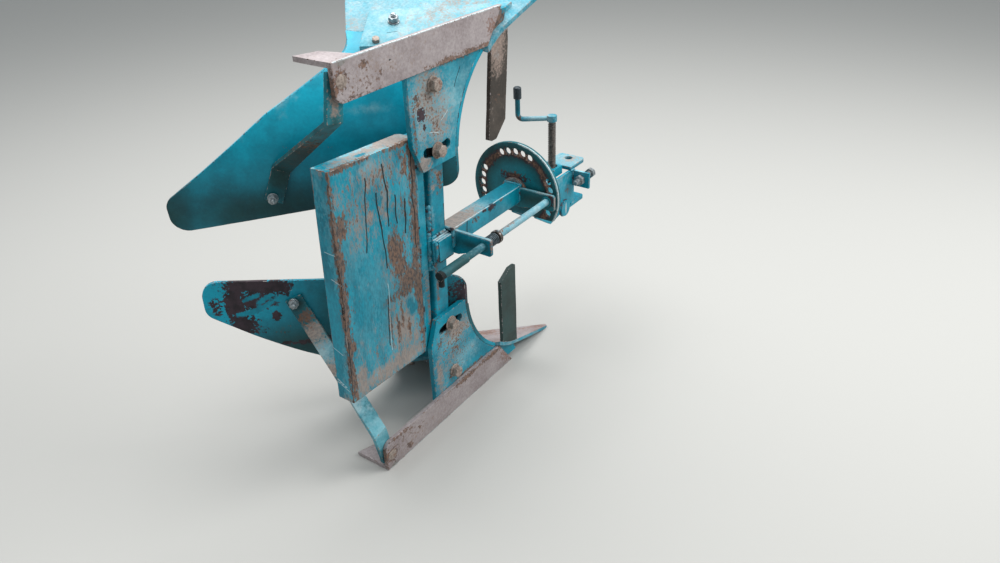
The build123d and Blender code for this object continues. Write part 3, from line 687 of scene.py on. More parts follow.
class Stock:
    """A mesh under construction, in millimetres of the drawing frame."""

    RIPPLE = 3.2  # mm from drop to drop of a weld bead

    def __init__(self) -> None:
        """Starts with nothing."""
        self.mesh = bmesh.new()

    def _ring(self, foot: Vector, frame: Matrix, points: Sequence[Point]) -> list[bmesh.types.BMVert]:
        """Adds vertices round an axis, each given by its radius, its angle in radians and its height."""
        made = []
        for radius, turn, height in points:
            place = Vector((radius * math.cos(turn), radius * math.sin(turn), height))
            made.append(self.mesh.verts.new(foot + frame @ place))
        return made

    def _bridge(self, rings: Sequence[Sequence[bmesh.types.BMVert]]) -> None:
        """Skins a row of equal rings."""
        for one, two in zip(rings, rings[1:]):
            for i in range(len(one)):
                j = (i + 1) % len(one)
                self.mesh.faces.new((one[i], one[j], two[j], two[i]))

    def _cap(self, rings: Sequence[Sequence[bmesh.types.BMVert]]) -> None:
        """Closes the first and the last ring."""
        self.mesh.faces.new(list(reversed(rings[0])))
        self.mesh.faces.new(rings[-1])

    def turned(
        self, foot: Vector, axis: Vector, profile: Sequence[tuple[float, float]], sides: int = 32
    ) -> None:
        """Turns a profile about an axis, as on a lathe.

        Args:
            foot: where the axis starts, mm.
            axis: its direction.
            profile: (radius, height) pairs from one end to the other; both ends are capped.
            sides: steps round the axis.
        """
        frame = axis.normalized().to_track_quat("Z", "Y").to_matrix()
        rings = []
        for radius, height in profile:
            turns = [2 * math.pi * i / sides for i in range(sides)]
            rings.append(self._ring(foot, frame, [(radius, turn, height) for turn in turns]))
        self._bridge(rings)
        self._cap(rings)

    def hexagon(
        self, foot: Vector, axis: Vector, flats: float, height: float, both: bool = False, turn: float = 0.0
    ) -> None:
        """Makes a hexagon head or nut with its chamfered corners.

        Args:
            foot: middle of its seat, mm.
            axis: direction of its height.
            flats: mm across flats.
            height: mm.
            both: chamfers the seat side too, as on a nut.
            turn: degrees that it is turned about its axis.
        """
        frame = axis.normalized().to_track_quat("Z", "Y").to_matrix()
        sides = 36
        inner = flats / 2 * 0.96
        rings = []
        for level in range(5):
            ring = []
            for i in range(sides):
                angle = 2 * math.pi * i / sides
                radius = flats / 2 / math.cos(angle % (math.pi / 3) - math.pi / 6)
                drop = max(0.0, radius - inner) * math.tan(math.radians(30))
                rise = (0.0, drop if both else 0.0, height - drop, height, height + 0.25)[level]
                if level in (0, 3):
                    radius = inner
                elif level == 4:
                    radius = inner * 0.8
                spin = angle + math.radians(turn)
                ring.append((radius, spin, rise))
            rings.append(self._ring(foot, frame, ring))
        self._bridge(rings)
        self._cap(rings)

    def thread(
        self, foot: Vector, axis: Vector, radius: float, length: float, pitch: float, sides: int = 20
    ) -> None:
        """Makes a threaded rod: a core and a helical ridge that runs out at both ends.

        Args:
            foot: where it starts, mm.
            axis: its direction.
            radius: outer radius, mm.
            length: mm.
            pitch: mm from crest to crest.
            sides: steps round one turn.
        """
        frame = axis.normalized().to_track_quat("Z", "Y").to_matrix()
        root = radius - pitch * 0.42
        core = [(root - 0.8, 0), (root, 0.8), (root, length - 0.8), (root - 0.8, length)]
        self.turned(foot, axis, core, sides)
        steps = int((length - pitch) / pitch * sides)
        rings = []
        for step in range(steps + 1):
            angle = 2 * math.pi * step / sides
            height = pitch / 2 + pitch * step / sides
            crest = root + (radius - root) * min(1.0, step / sides * 1.5, (steps - step) / sides * 1.5)
            ridge = ((root - 0.3, -0.46), (crest, -0.14), (crest, 0.14), (root - 0.3, 0.46))
            ring = [(reach, angle, height + offset * pitch) for reach, offset in ridge]
            rings.append(self._ring(foot, frame, ring))
        self._bridge(rings)
        self._cap(rings)

    def swept(self, line: Sequence[Vector], radius: float | Sequence[float], sides: int = 12) -> None:
        """Runs a round section along a line.

        Args:
            line: points, mm.
            radius: one radius, or one for each point.
            sides: steps round the section.
        """
        sizes = [radius] * len(line) if isinstance(radius, (int, float)) else list(radius)
        rings = []
        side = None
        for i, point in enumerate(line):
            heading = (line[min(i + 1, len(line) - 1)] - line[max(i - 1, 0)]).normalized()
            side = heading.orthogonal() if side is None else side - heading * side.dot(heading)
            side = side.normalized()
            other = heading.cross(side)
            turns = [2 * math.pi * k / sides for k in range(sides)]
            section = [side * math.cos(turn) + other * math.sin(turn) for turn in turns]
            rings.append([self.mesh.verts.new(point + way * sizes[i]) for way in section])
        self._bridge(rings)
        self._cap(rings)

    def weld(self, line: Sequence[Vector], radius: float, seed: int) -> None:
        """Lays a hand-made weld bead: an uneven round with the ripples of its drops.

        Args:
            line: corners of the seam, mm.
            radius: mm; about half of it stands out of the joint.
            seed: which hand-made unevenness.
        """
        rng = random.Random(seed)
        points: list[Vector] = []
        for one, two in zip(line, line[1:]):
            count = max(2, int((two - one).length / (self.RIPPLE / 3)))
            points += [one.lerp(two, i / count) for i in range(count)]
        points.append(line[-1])
        sizes = []
        wander = 0.0
        for i in range(len(points)):
            wander = 0.85 * wander + rng.uniform(-0.09, 0.09)
            taper = min(1.0, 0.45 + min(i, len(points) - 1 - i) * 0.2)
            sizes.append(radius * taper * (1 - 0.16 * (i % 3) / 3 + wander))
        self.swept(points, sizes, 10)

    def finish(
        self,
        name: str,
        body: str,
        finish: bpy.types.Material,
        slot: str,
        stands_for: Sequence[str] = (),
        smooth: float = 40.0,
    ) -> bpy.types.Object:
        """Turns the stock into a piece that rides on its body.

        Args:
            name: the piece's name.
            body: the body it moves with.
            finish: its material.
            slot: the record's material slot; not used.
            stands_for: nodes that it replaces.
            smooth: degrees below which an edge is shaded smooth.

        Returns:
            The piece.
        """
        bmesh.ops.recalc_face_normals(self.mesh, faces=self.mesh.faces)
        for vertex in self.mesh.verts:
            vertex.co = at(*vertex.co)
        data = bpy.data.meshes.new(name)
        self.mesh.to_mesh(data)
        self.mesh.free()
        return link_piece(name, data, finish, body, stands_for, smooth)


@dataclass
class WornSteel:
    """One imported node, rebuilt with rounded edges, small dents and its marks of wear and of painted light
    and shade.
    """

    EDGE_REACH: ClassVar[float] = 5.0  # mm from an edge where the wear of edges ends
    ONE_PLANE: ClassVar[float] = 0.4  # degrees below which two faces are taken as one
    SHARP: ClassVar[float] = 28.0  # degrees above which an edge is rounded
    EDGE_STEP: ClassVar[float] = 1.5  # mm between the points that stand for the edges
    BROAD_DENT: ClassVar[float] = 45.0  # mm across
    SMALL_DENT: ClassVar[float] = 13.0  # mm across; a quarter as deep
    STRAY: ClassVar[float] = 26.0  # mm across one bend of a long mark
    edge: float = 0.8  # mm taken off each sharp edge
    grid: float = 9.0  # mm between the points that carry dents and marks
    dent: float = 0.3  # mm
    flat: bool = True
    scoured: Vector | None = None  # the side that soil polishes

    def _points(self, data: bpy.types.Mesh) -> np.ndarray:
        """Gives the mesh's points, mm."""
        points = np.zeros(len(data.vertices) * 3, dtype=np.float64)
        data.vertices.foreach_get("co", points)
        return points.reshape(-1, 3) * 1000.0 - np.array(SHIFT)

    def _carve(self, source: bpy.types.Mesh, name: str) -> bpy.types.Mesh:
        """Rounds the edges, cuts the grid and dents it.

        Args:
            source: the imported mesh.
            name: the new mesh's name.

        Returns:
            The worn mesh.
        """
        mesh = bmesh.new()
        mesh.from_mesh(source)
        for vertex in mesh.verts:
            vertex.co = vertex.co * 1000.0 - SHIFT
        bmesh.ops.remove_doubles(mesh, verts=mesh.verts, dist=0.01)
        bmesh.ops.recalc_face_normals(mesh, faces=mesh.faces)
        if self.flat:
            one_plane = math.radians(self.ONE_PLANE)
            bmesh.ops.dissolve_limit(mesh, angle_limit=one_plane, verts=mesh.verts, edges=mesh.edges)
        low = [min(v.co[i] for v in mesh.verts) for i in range(3)]
        high = [max(v.co[i] for v in mesh.verts) for i in range(3)]
        limit = math.radians(self.SHARP)
        sharp = [e for e in mesh.edges if e.is_manifold and e.calc_face_angle(0.0) > limit]
        corners: list[Vector] = []
        for line in sharp:
            one, two = (v.co.copy() for v in line.verts)
            steps = max(1, int((two - one).length / self.EDGE_STEP))
            corners += [one.lerp(two, i / steps) for i in range(steps + 1)]
        if self.edge and sharp:
            bmesh.ops.bevel(
                mesh, geom=sharp, offset=self.edge, segments=2, profile=0.6, affect="EDGES",
                clamp_overlap=False,
            )
        for axis in range(3):
            across = Vector([float(axis == i) for i in range(3)])
            for cut in range(1, int((high[axis] - low[axis]) / self.grid) + 1):
                middle = across * (low[axis] + cut * self.grid)
                everything = mesh.verts[:] + mesh.edges[:] + mesh.faces[:]
                bmesh.ops.bisect_plane(mesh, geom=everything, plane_co=middle, plane_no=across, dist=0.02)
        near = kdtree.KDTree(len(corners))
        for i, corner in enumerate(corners):
            near.insert(corner, i)
        near.balance()
        layer = mesh.verts.layers.float.new("edge")
        for vertex in mesh.verts:
            far = near.find(vertex.co)[2] if corners else self.EDGE_REACH
            vertex[layer] = max(0.0, 1.0 - max(0.0, far - self.edge * 0.6) / self.EDGE_REACH)
            broad = noise.noise_vector(vertex.co / self.BROAD_DENT) * self.dent
            small = noise.noise_vector(vertex.co / self.SMALL_DENT) * self.dent * 0.25
            moved = vertex.co + broad + small
            vertex.co = at(*[min(max(moved[i], low[i]), high[i]) for i in range(3)])
        data = bpy.data.meshes.new(name)
        mesh.to_mesh(data)
        mesh.free()
        return data

    def _wear(self, data: bpy.types.Mesh, marks: Marks) -> None:
        """Writes each kind of mark on the mesh as a field.

        Args:
            data: the worn mesh.
            marks: where it is worn, and where light and shade are painted.
        """
        points = self._points(data)
        stray = np.array([noise.noise_vector(Vector(p) / self.STRAY) for p in points])
        normals = np.zeros(len(points) * 3, dtype=np.float32)
        data.vertices.foreach_get("normal", normals)
        normals = normals.reshape(-1, 3)
        for kind in Mark:
            same = [mark for mark in marks if mark.kind is kind]
            fields = [mark.field(points, stray) for mark in same]
            if kind is Mark.SCOUR and self.scoured is not None:
                fields.append(np.clip(normals @ np.array(self.scoured) * 1.5, 0, 1))
            if not fields:
                continue
            self._write(data, kind.value, np.max(fields, axis=0))
            if MARK_LOOKS[kind].line:
                nearest = np.argmax(fields, axis=0)
                sides = np.array([mark.side(points, stray, normals) for mark in same])
                self._write(data, kind.value + "_side", sides[nearest, np.arange(len(points))])

    def _write(self, data: bpy.types.Mesh, name: str, values: np.ndarray) -> None:
        """Writes one field on the mesh's points."""
        data.attributes.new(name, "FLOAT", "POINT").data.foreach_set("value", values.astype(np.float32))

    def rebuild(
        self, frame: dict[str, Any], node: str, finish: bpy.types.Material, marks: Marks
    ) -> bpy.types.Object:
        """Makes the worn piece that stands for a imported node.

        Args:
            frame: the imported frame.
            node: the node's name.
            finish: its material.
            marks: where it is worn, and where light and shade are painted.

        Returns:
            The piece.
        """
        source = frame["nodes"][node]
        data = self._carve(source.data, node + "_worn")
        self._wear(data, marks)
        smooth = 18.0 if self.flat else 24.0
        return link_piece(node + "_worn", data, finish, source["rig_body"], (node,), smooth)


class Fixing(Enum):
    """What shows of a bolt."""

    HEAD = "hexagon head"
    NUT = "nut on a thread end"
    FLUSH = "countersunk head, worn flush"


@dataclass
class Bolt:
    """One bolt as it shows on one side."""

    SUNK: ClassVar[float] = 0.3  # mm that the seat goes into the plate, so that no gap shows
    name: str
    seat: Vector
    axis: Vector
    flats: float
    fixing: Fixing = Fixing.HEAD
    washer: float = 0.0  # mm outside diameter
    turn: float = 0.0

    def build(self, finish: bpy.types.Material) -> None:
        """Builds the head or nut with its washer and thread end."""
        stock = Stock()
        out = self.axis.normalized()
        foot = self.seat - out * self.SUNK
        if self.washer:
            rim = self.washer / 2
            stock.turned(foot, out, [(rim - 0.5, 0), (rim, 0.5), (rim, 1.9), (rim - 0.6, 2.5)], 40)
            foot = foot + out * 2.4
        if self.fixing is Fixing.FLUSH:
            rim = self.flats / 2
            stock.turned(foot, out, [(rim, 0), (rim, 0.6), (rim * 0.8, 1.1), (rim * 0.3, 1.3)], 36)
        else:
            height = self.flats * 0.55
            stock.hexagon(foot, out, self.flats, height, self.fixing is Fixing.NUT, self.turn)
            if self.fixing is Fixing.NUT:
                stock.thread(foot + out * (height - 2), out, self.flats * 0.31, 7.5, 1.75)
        stock.finish(self.name, "plough_frame", finish, "plated_bolt")


# Studio


@dataclass
class Studio:
    """Plain floor, soft light and the camera at the photograph's angle."""

    eye: Point = (-863.55, -786.87, 637.31)
    focal: float = 785.43  # pixels of the 1000-wide frame
    yaw: float = 35.755
    pitch: float = 31.095
    roll: float = -2.109
    glow: float = 0.68
    overhead: float = 96.0  # W
    side: float = 52.0

    def camera(self) -> None:
        """Places the camera."""
        data = bpy.data.cameras.new("photo_camera")
        data.sensor_width = 36.0
        data.lens = self.focal / 1000.0 * 36.0
        data.clip_start, data.clip_end = 0.05, 60.0
        camera = bpy.data.objects.new("photo_camera", data)
        yaw, pitch, roll = (math.radians(v) for v in (self.yaw, self.pitch, self.roll))
        heading = Vector((math.cos(yaw), math.sin(yaw), 0.0))
        right = Vector((math.sin(yaw), -math.cos(yaw), 0.0))
        up = Vector((0.0, 0.0, 1.0))
        forward = heading * math.cos(pitch) - up * math.sin(pitch)
        above = heading * math.sin(pitch) + up * math.cos(pitch)
        side = right * math.cos(roll) + above * math.sin(roll)
        top = above * math.cos(roll) - right * math.sin(roll)
        turn = Matrix((side, top, -forward)).transposed()
        camera.matrix_world = Matrix.Translation(at(*self.eye)) @ turn.to_4x4()
        bpy.context.scene.collection.objects.link(camera)
        bpy.context.scene.camera = camera

    def floor(self) -> None:
        """Lays the pale floor."""
        data = bpy.data.meshes.new("studio_floor")
        half = 20.0
        corners = [(-half, -half, 0), (half, -half, 0), (half, half, 0), (-half, half, 0)]
        data.from_pydata(corners, [], [(0, 1, 2, 3)])
        floor = bpy.data.objects.new("studio_floor", data)
        bpy.context.scene.collection.objects.link(floor)
        matt = bpy.data.materials.new("pale_matt_floor")
        matt.use_nodes = True
        shader = matt.node_tree.nodes["Principled BSDF"]
        shader.inputs["Base Color"].default_value = linear("a9a8a4")
        shader.inputs["Roughness"].default_value = 0.9
        data.materials.append(matt)

    def lights(self) -> None:
        """Hangs the soft lights and sets the sky's glow."""
        bpy.context.scene.view_settings.view_transform = "Standard"
        world = bpy.data.worlds.new("studio_air")
        bpy.context.scene.world = world
        world.use_nodes = True
        air = world.node_tree.nodes["Background"]
        air.inputs["Color"].default_value = linear("e6edf2")
        air.inputs["Strength"].default_value = self.glow
        for name, place, aim, size, power in (
            ("overhead_softbox", (0.2, 0.4, 2.6), (0.0, 0.0, 0.3), 2.4, self.overhead),
            ("side_softbox", (1.3, -1.9, 1.9), (0.0, 0.0, 0.35), 1.4, self.side),
        ):
            data = bpy.data.lights.new(name, "AREA")
            data.size = size
            data.energy = power
            lamp = bpy.data.objects.new(name, data)
            lamp.location = place
            lamp.rotation_euler = (Vector(aim) - Vector(place)).to_track_quat("-Z", "Y").to_euler()
            bpy.context.scene.collection.objects.link(lamp)


# Marks of wear and of painted light and shade, as the photograph shows them

DOWN = Vector((0, 0, -1))
AHEAD = Vector((1, 0, 0))
LANDSIDE = Vector((0, -1, 0))

SLAB_MARKS: Marks = (
    *spots(
        Mark.CLAY, (-104, -3, 163, 9, 12, 10, 0.75), (-105, -3, 112, 11, 12, 10, 0.85),
        (-70, -3, 120, 30, 12, 50, 0.5), (-20, -3, 165, 26, 12, 34, 0.6), (-160, -3, 150, 20, 12, 40, 0.56),
        (-90, -3, -176, 110, 12, 26, 0.85), (-172, -3, -165, 18, 12, 40, 0.9),
        (-58, -3, -112, 34, 12, 56, 0.9), (-30, -3, -150, 30, 12, 40, 0.7),
        (-130, -3, 120, 46, 12, 70, 0.58), (-80, -3, 176, 60, 12, 26, 0.62),
        (-120, -3, -120, 50, 12, 30, 0.45), (-60, -3, 10, 40, 12, 60, 0.52), (-95, 12, 206, 95, 14, 9, 0.9),
        (-20, 12, 206, 40, 40, 9), (-184, 6, 35, 5, 7, 6, 0.9), (-195, 16, -190, 6, 22, 16, 0.9),
    ),
    *spots(
        Mark.WASH_AND_HIGHLIGHT, (-130, -3, -170, 42, 12, 16, 0.75), (-50, -3, -185, 40, 12, 9, 0.7),
        (-60, 20, 206, 60, 10, 9, 0.8), (-150, 8, 206, 20, 10, 9, 0.8), (-98, -3, 189, 40, 12, 14, 0.6),
        (-70, -3, 160, 24, 12, 26, 0.55), (-183, 20, 60, 8, 12, 160, 0.42),
    ),
    *spots(
        Mark.OLD, (-179, -3, 200, 6, 8, 40, 0.9), (-180, -3, 90, 6, 8, 90), (-168, -3, 122, 15, 8, 22),
        (-176, -3, 66, 8, 8, 26), (-182, -3, 0, 8, 8, 60), (-185, -3, -60, 7, 8, 70),
        (-178, -3, -87, 8, 8, 10), (-188, -3, -140, 7, 8, 60), (-150, -3, 209, 26, 8, 7),
        (-110, -3, 206, 22, 8, 5, 0.9), (-20, -3, 201, 40, 8, 4, 0.9), (-2, -3, 150, 9, 8, 70),
        (-6, -3, 60, 11, 8, 80), (-13, -3, -60, 12, 8, 110), (-18, -3, 165, 10, 8, 22, 0.75),
        (-60, -3, 32, 19, 8, 38), (-52, -3, 0, 18, 8, 26, 0.95), (-30, -3, -30, 36, 8, 22),
        (-48, -3, -46, 34, 8, 14, 0.85), (-84, -3, -50, 20, 8, 9, 0.7), (-90, -3, -95, 4, 8, 50, 0.8),
        (-72, -3, -112, 5, 8, 40, 0.8), (-60, -3, -90, 4, 8, 30, 0.8), (-45, -3, -122, 5, 8, 24, 0.75),
        (-27, -3, 95, 5, 8, 30, 0.7), (-26, -3, 182, 13, 8, 14, 0.7), (-34, -3, 120, 3, 8, 40, 0.6),
        (-130, -3, 140, 50, 8, 60, 0.44), (-70, -3, 160, 60, 8, 46, 0.45),
    ),
    *spots(
        Mark.KEPT, (-32, -3, -92, 15, 8, 14, 0.9), (-40, -3, -78, 9, 8, 12, 0.9),
        (-188, 24, 0, 12, 17, 260), (-112, -3, -60, 34, 8, 90, 0.5), (-134, -3, 30, 22, 8, 50, 0.5),
        (-98, 10, 206, 14, 5, 9),
    ),
    *scars(
        Mark.CRACK_AND_SHADE, (-107, -3, 173, -120, -3, 63, 2.4), (-87, -3, 142, -81, -3, 15, 2.8),
        (-68, -3, 180, -64, -3, 139, 3), (-64, -3, 139, -68, -3, 85, 2.8), (-49, -3, 123, -48, -3, 80, 2.8),
        (-26, -3, 107, -31, -3, 56, 3), (-90, -3, -40, -97, -3, -128, 2), (-182, -3, 60, -194, -3, -190, 2),
        (-2, -3, 190, -9, -3, 20, 2.2),
    ),
    *scars(
        Mark.SCRATCH_AND_HIGHLIGHT, (-86, -3, -20, -94, -3, -140, 1), (-190.3, 29, -92, -190.3, 12, -98, 1.2, 1),
        (-192.8, 32, -150, -192.8, 12, -160, 1.6, 1), (-193.2, 28, -158, -193.2, 6, -167, 1.2, 1),
        (-182, 20, 81, -182, 4, 80, 0.9, 1), (-184, 12, 36, -184, -3, 32, 1.2, 1),
    ),
)

POST_MARKS: Marks = (
    *spots(Mark.CLAY, (43, -3, 103, 9, 5, 8, 0.8), (60, -3, 122, 9, 5, 10, 0.7)),
    # Painted shade: dark behind the frog's slots, at the slot bolts.
    *spots(Mark.CRACK_AND_SHADE, (52, -3, 168, 34, 4, 16), (52, -3, -168, 34, 4, 16)),
    *spots(
        Mark.OLD, (64, -3, 112, 9, 5, 30, 0.7), (50, -3, 130, 30, 5, 24, 0.5), (55, -3, 86, 7, 5, 5, 0.7),
    ),
    *spots(Mark.WASH_AND_HIGHLIGHT, (50, -3, 130, 20, 5, 24, 0.5), (38, -3, 60, 7, 5, 46, 0.5)),
    *spots(Mark.FRESH, (36, -3, -60, 4, 5, 90, 0.8)),
    *scars(Mark.CRACK_AND_SHADE, (70, -3, 60, 69, -3, -150, 2)),
)

SPINE_MARKS: Marks = (
    *spots(Mark.FRESH, (12, -1, -130, 7, 5, 66, 0.7)),
    *spots(Mark.CLAY, (10, -1, -60, 9, 5, 30, 0.6)),
    # Painted shade: the dark groove between the slab and the post.
    *scars(Mark.CRACK_AND_SHADE, (30, 7, 130, 30, 7, 76, 7, 1), (30, 7, -65, 30, 7, -152, 7, 1)),
)

BEAM_MARKS: Marks = (
    *spots(Mark.CLAY, (96, 0, 18, 60, 30, 4)),
    *spots(Mark.WASH_AND_HIGHLIGHT, (130, 0, 18, 60, 30, 4, 0.95)),
    *spots(Mark.KEPT, (240, 0, 18, 52, 30, 3, 0.95)),
    *spots(Mark.SCALE, (187, -17.5, 12, 11, 4, 8), (165, -17.5, 14, 8, 4, 4)),
    *spots(Mark.OLD, (219, -17.5, 15, 6, 4, 4), (140, -17.5, 8, 16, 4, 9, 0.7)),
    *scars(Mark.CRACK_AND_SHADE, (112, -17.5, 12, 110, -17.5, -14, 2.4, 2)),
    # Painted highlights along the beam's lit top near edge.
    *scars(
        Mark.SCRATCH_AND_HIGHLIGHT, (84, -17.5, 17.5, 178, -17.5, 17.5, 1.8, 0.6),
        (196, -17.5, 17.5, 284, -17.5, 17.5, 1.8, 0.6),
    ),
)

FISH_MARKS: Marks = (
    # Painted highlights along the fish plates' top edges.
    *scars(Mark.SCRATCH_AND_HIGHLIGHT, (29, -17.5, 13, 69, -17.5, 13, 3.2, 0.4), (29, -9, 13, 69, -9, 13, 2.8, 0.4)),
    *spots(Mark.WASH_AND_HIGHLIGHT, (48, -10, 13, 30, 12, 3, 0.9)),
    *scars(Mark.CRACK_AND_SHADE, (34, -17.5, -30, 69, -17.5, -30, 2.2, 0.6)),
)

LUG_REAR_MARKS: Marks = (
    *spots(Mark.WASH_AND_HIGHLIGHT, (78, -56, 14, 8, 50, 2.5)),
    *spots(Mark.FRESH, (78, -96, -2, 8, 4, 20, 0.8)),
    *spots(Mark.DAMP_AND_SHADE, (75, -50, -6, 4, 40, 10, 0.8)),
)

LUG_FRONT_MARKS: Marks = (
    *spots(Mark.WASH_AND_HIGHLIGHT, (282, -56, 14, 8, 50, 2.5, 0.9)),
    *spots(Mark.BARE, (282, -96, 0, 8, 3, 22, 0.9)),
    *spots(Mark.DAMP_AND_SHADE, (279, -50, -3, 4, 50, 18, 0.9)),
    *spots(Mark.SCALE, (279, -88, 2, 3, 8, 14, 0.85)),
)

ROD_MARKS: Marks = (
    # The second pale spot, a thin strip along the rod's top near its grip, is a painted highlight.
    *spots(Mark.WASH_AND_HIGHLIGHT, (200, -79, 0, 110, 20, 20), (50, -79, 11, 34, 20, 4, 0.8)),
    *spots(Mark.BARE, (150, -79, 6, 90, 6, 4, 0.62)),
    *spots(Mark.OLD, (130, -79, 0, 40, 20, 20, 0.45)),
    # Painted shade: the rod's rear part, round its grip, darkened.
    *spots(Mark.DAMP_AND_SHADE, (0, -79, -6, 70, 40, 34)),
    # Painted shade: the black band along the rod's underside; the rear end is black as well.
    *spots(Mark.CRACK_AND_SHADE, (-6, -79, -9, 60, 9, 5), (-44, -79, -8, 9, 20, 20)),
)



def rim(radius: float, turn: float, x: float) -> Point:
    """Gives a point on the index disc's face, at a radius (mm) and a turn (degrees)."""
    return (x, radius * math.cos(math.radians(turn)), radius * math.sin(math.radians(turn)))


DISC_MARKS: Marks = (
    *(
        Scar(kind, rim(77, a, 292), rim(77, a + 15, 292), width, 2.0)
        for kind, width in ((Mark.DAMP_AND_SHADE, 30.0), (Mark.SCALE, 10.0), (Mark.OLD, 4.0))
        for a in range(-15, 211, 15)
    ),
    Spot(Mark.SCALE, (292, 4, 28), (4, 34, 10), 0.9),
    Spot(Mark.OLD, (292, 4, 32), (4, 30, 9), 0.62),
    # Painted shadow of the front lug and the beam on the disc's lower near quarter.
    Spot(Mark.DAMP_AND_SHADE, (292, -50, -20), (4, 40, 30)),
    # Painted highlight along the disc's lit rim.
    *(Scar(Mark.SCRATCH_AND_HIGHLIGHT, rim(97, a, 293), rim(97, a + 12, 293), 4.0, 0.0) for a in range(97, 206, 12)),
)

HEAD_MARKS: Marks = (
    *spots(Mark.WASH_AND_HIGHLIGHT, (400, -30, -20, 40, 3, 20, 0.62)),
    *spots(Mark.FRESH, (440, -30, -50, 8, 3, 10, 0.6)),
    *spots(Mark.OLD, (410, -30, -60, 10, 3, 14, 0.5)),
    # Painted highlight along the near plate's top edge.
    *scars(Mark.SCRATCH_AND_HIGHLIGHT, (332, -30, -1, 460, -30, 0, 3.4, 0.8)),
    # Painted highlight and painted shadow at the pivot: a bright line, with a dark crescent of shadow beside
    # it.
    *spots(Mark.SCRATCH_AND_HIGHLIGHT, (427, -35, -86, 3, 3, 17, 0.9)),
    *spots(Mark.CRACK_AND_SHADE, (427, -35, -86, 3, 9, 9)),
)

EAR_MARKS: Marks = (
    *spots(Mark.WASH_AND_HIGHLIGHT, (480, 0, -4, 60, 50, 3)),
    *spots(Mark.CLAY, (490, -8, -4, 30, 24, 3, 0.62)),
    *spots(Mark.CRACK_AND_SHADE, (495, 0, -4, 11, 11, 6, 0.8)),
)

FROG_MARKS: Marks = (
    *spots(Mark.WASH_AND_HIGHLIGHT, (34, -13, 250, 42, 6, 60, 0.95), (66, -13, 225, 36, 6, 50, 0.8)),
    *spots(
        Mark.CLAY, (40, -13, 258, 40, 6, 50, 0.82), (60, -13, 212, 34, 6, 32, 0.78),
        (16, -13, 155, 16, 8, 14),
    ),
    *spots(Mark.SUN, (105, -13, 240, 50, 6, 70, 0.7)),
    *spots(Mark.SCALE, (20, -13, 236, 10, 6, 13, 0.95), (27, -13, 214, 6, 6, 6, 0.85)),
    *spots(
        Mark.OLD, (12, -13, 262, 6, 6, 12, 0.8), (44, -13, 252, 30, 6, 40, 0.5),
        (50, -13, 210, 34, 6, 34, 0.5), (2, -13, 210, 4, 6, 70, 0.8), (228, -13, 332, 34, 6, 20, 0.9),
        (130, -13, 303, 60, 6, 6, 0.8),
    ),
    *scars(Mark.CRACK_AND_SHADE, (122, -13, 284, 106, -13, 258, 1.2)),
    # Painted shade in the slot round the slot bolt.
    *spots(Mark.CRACK_AND_SHADE, (52, -6, 168, 36, 5, 18)),
    *scars(Mark.SCRATCH_AND_HIGHLIGHT, (40, -13, 200, 58, -13, 194, 1.2), (70, -13, 214, 84, -13, 224, 1)),
)

LOWER_FROG_MARKS: Marks = (
    *spots(Mark.WASH_AND_HIGHLIGHT, (60, -13, -205, 50, 6, 30, 0.75), (70, -13, -262, 60, 6, 34, 0.72)),
    *spots(
        Mark.CLAY, (66, -13, -192, 40, 6, 24, 0.85), (43, -13, -240, 34, 6, 30, 0.62),
        (10, -13, -262, 12, 6, 44, 0.8),
    ),
    *spots(
        Mark.OLD, (52, -13, -276, 17, 6, 17, 0.8), (17, -13, -197, 10, 6, 14, 0.7),
        (100, -13, -303, 60, 6, 7, 0.85), (60, -13, -220, 60, 6, 60, 0.5),
    ),
    # Painted shade in the slot round the slot bolt.
    *spots(Mark.CRACK_AND_SHADE, (52, -6, -168, 36, 5, 18)),
)

LANDSIDE_MARKS: Marks = (
    *spots(
        Mark.OLD, (-98, -21, 346, 8, 4, 8, 0.9), (-67, -21, 326, 3.6, 4, 3.6),
        (-157, -17, 326, 3, 8, 30, 0.9), (-120, -21, 305, 34, 4, 5, 0.7), (84, -21, 306, 50, 4, 7, 0.85),
        (158, -21, 306, 60, 4, 6, 0.9), (232, -21, 340, 9, 4, 30, 0.9), (-143, -21, 333, 15, 3, 15, 0.95),
        (-100, -21, 320, 60, 4, 20, 0.45),
    ),
    *spots(Mark.BARE, (-98, -21, 346, 3, 4, 3, 0.9), (-139, -21, 357, 14, 4, 5, 0.8)),
    *spots(Mark.CRACK_AND_SHADE, (-45, -21, 338, 4, 4, 4, 0.8)),
    *spots(Mark.FRESH, (-148, -21, 332, 13, 4, 13, 0.7), (210, -21, 330, 26, 4, 26, 0.62)),
    # Painted highlight along the landside's lit top edge (its outer edge on the lower body).
    *scars(Mark.SCRATCH_AND_HIGHLIGHT, (-150, -20, 360.5, 230, -20, 360.5, 2, 0.5)),
    *spots(Mark.CLAY, (-60, -21, 335, 110, 4, 30, 0.42)),
)

SHARE_MARKS: Marks = (
    *spots(Mark.WASH_AND_HIGHLIGHT, (150, 110, 348, 260, 200, 80, 0.85)),
    *spots(Mark.CLAY, (230, 60, 345, 60, 60, 50, 0.62), (60, 190, 345, 70, 50, 50, 0.56)),
    *spots(Mark.OLD, (200, 20, 345, 60, 30, 20, 0.6)),
)

SEAT_MARKS: Marks = (
    *spots(Mark.SUN, (150, 110, 345, 200, 160, 40, 0.8)),
    *spots(Mark.WASH_AND_HIGHLIGHT, (170, 100, 348, 200, 160, 60, 0.75)),
    *scars(Mark.CRACK_AND_SHADE, (150, 150, 337, 182, 96, 346, 1.2), (100, 112, 331, 128, 84, 338, 1)),
    *spots(Mark.CLAY, (190, 70, 350, 90, 60, 40, 0.5)),
)

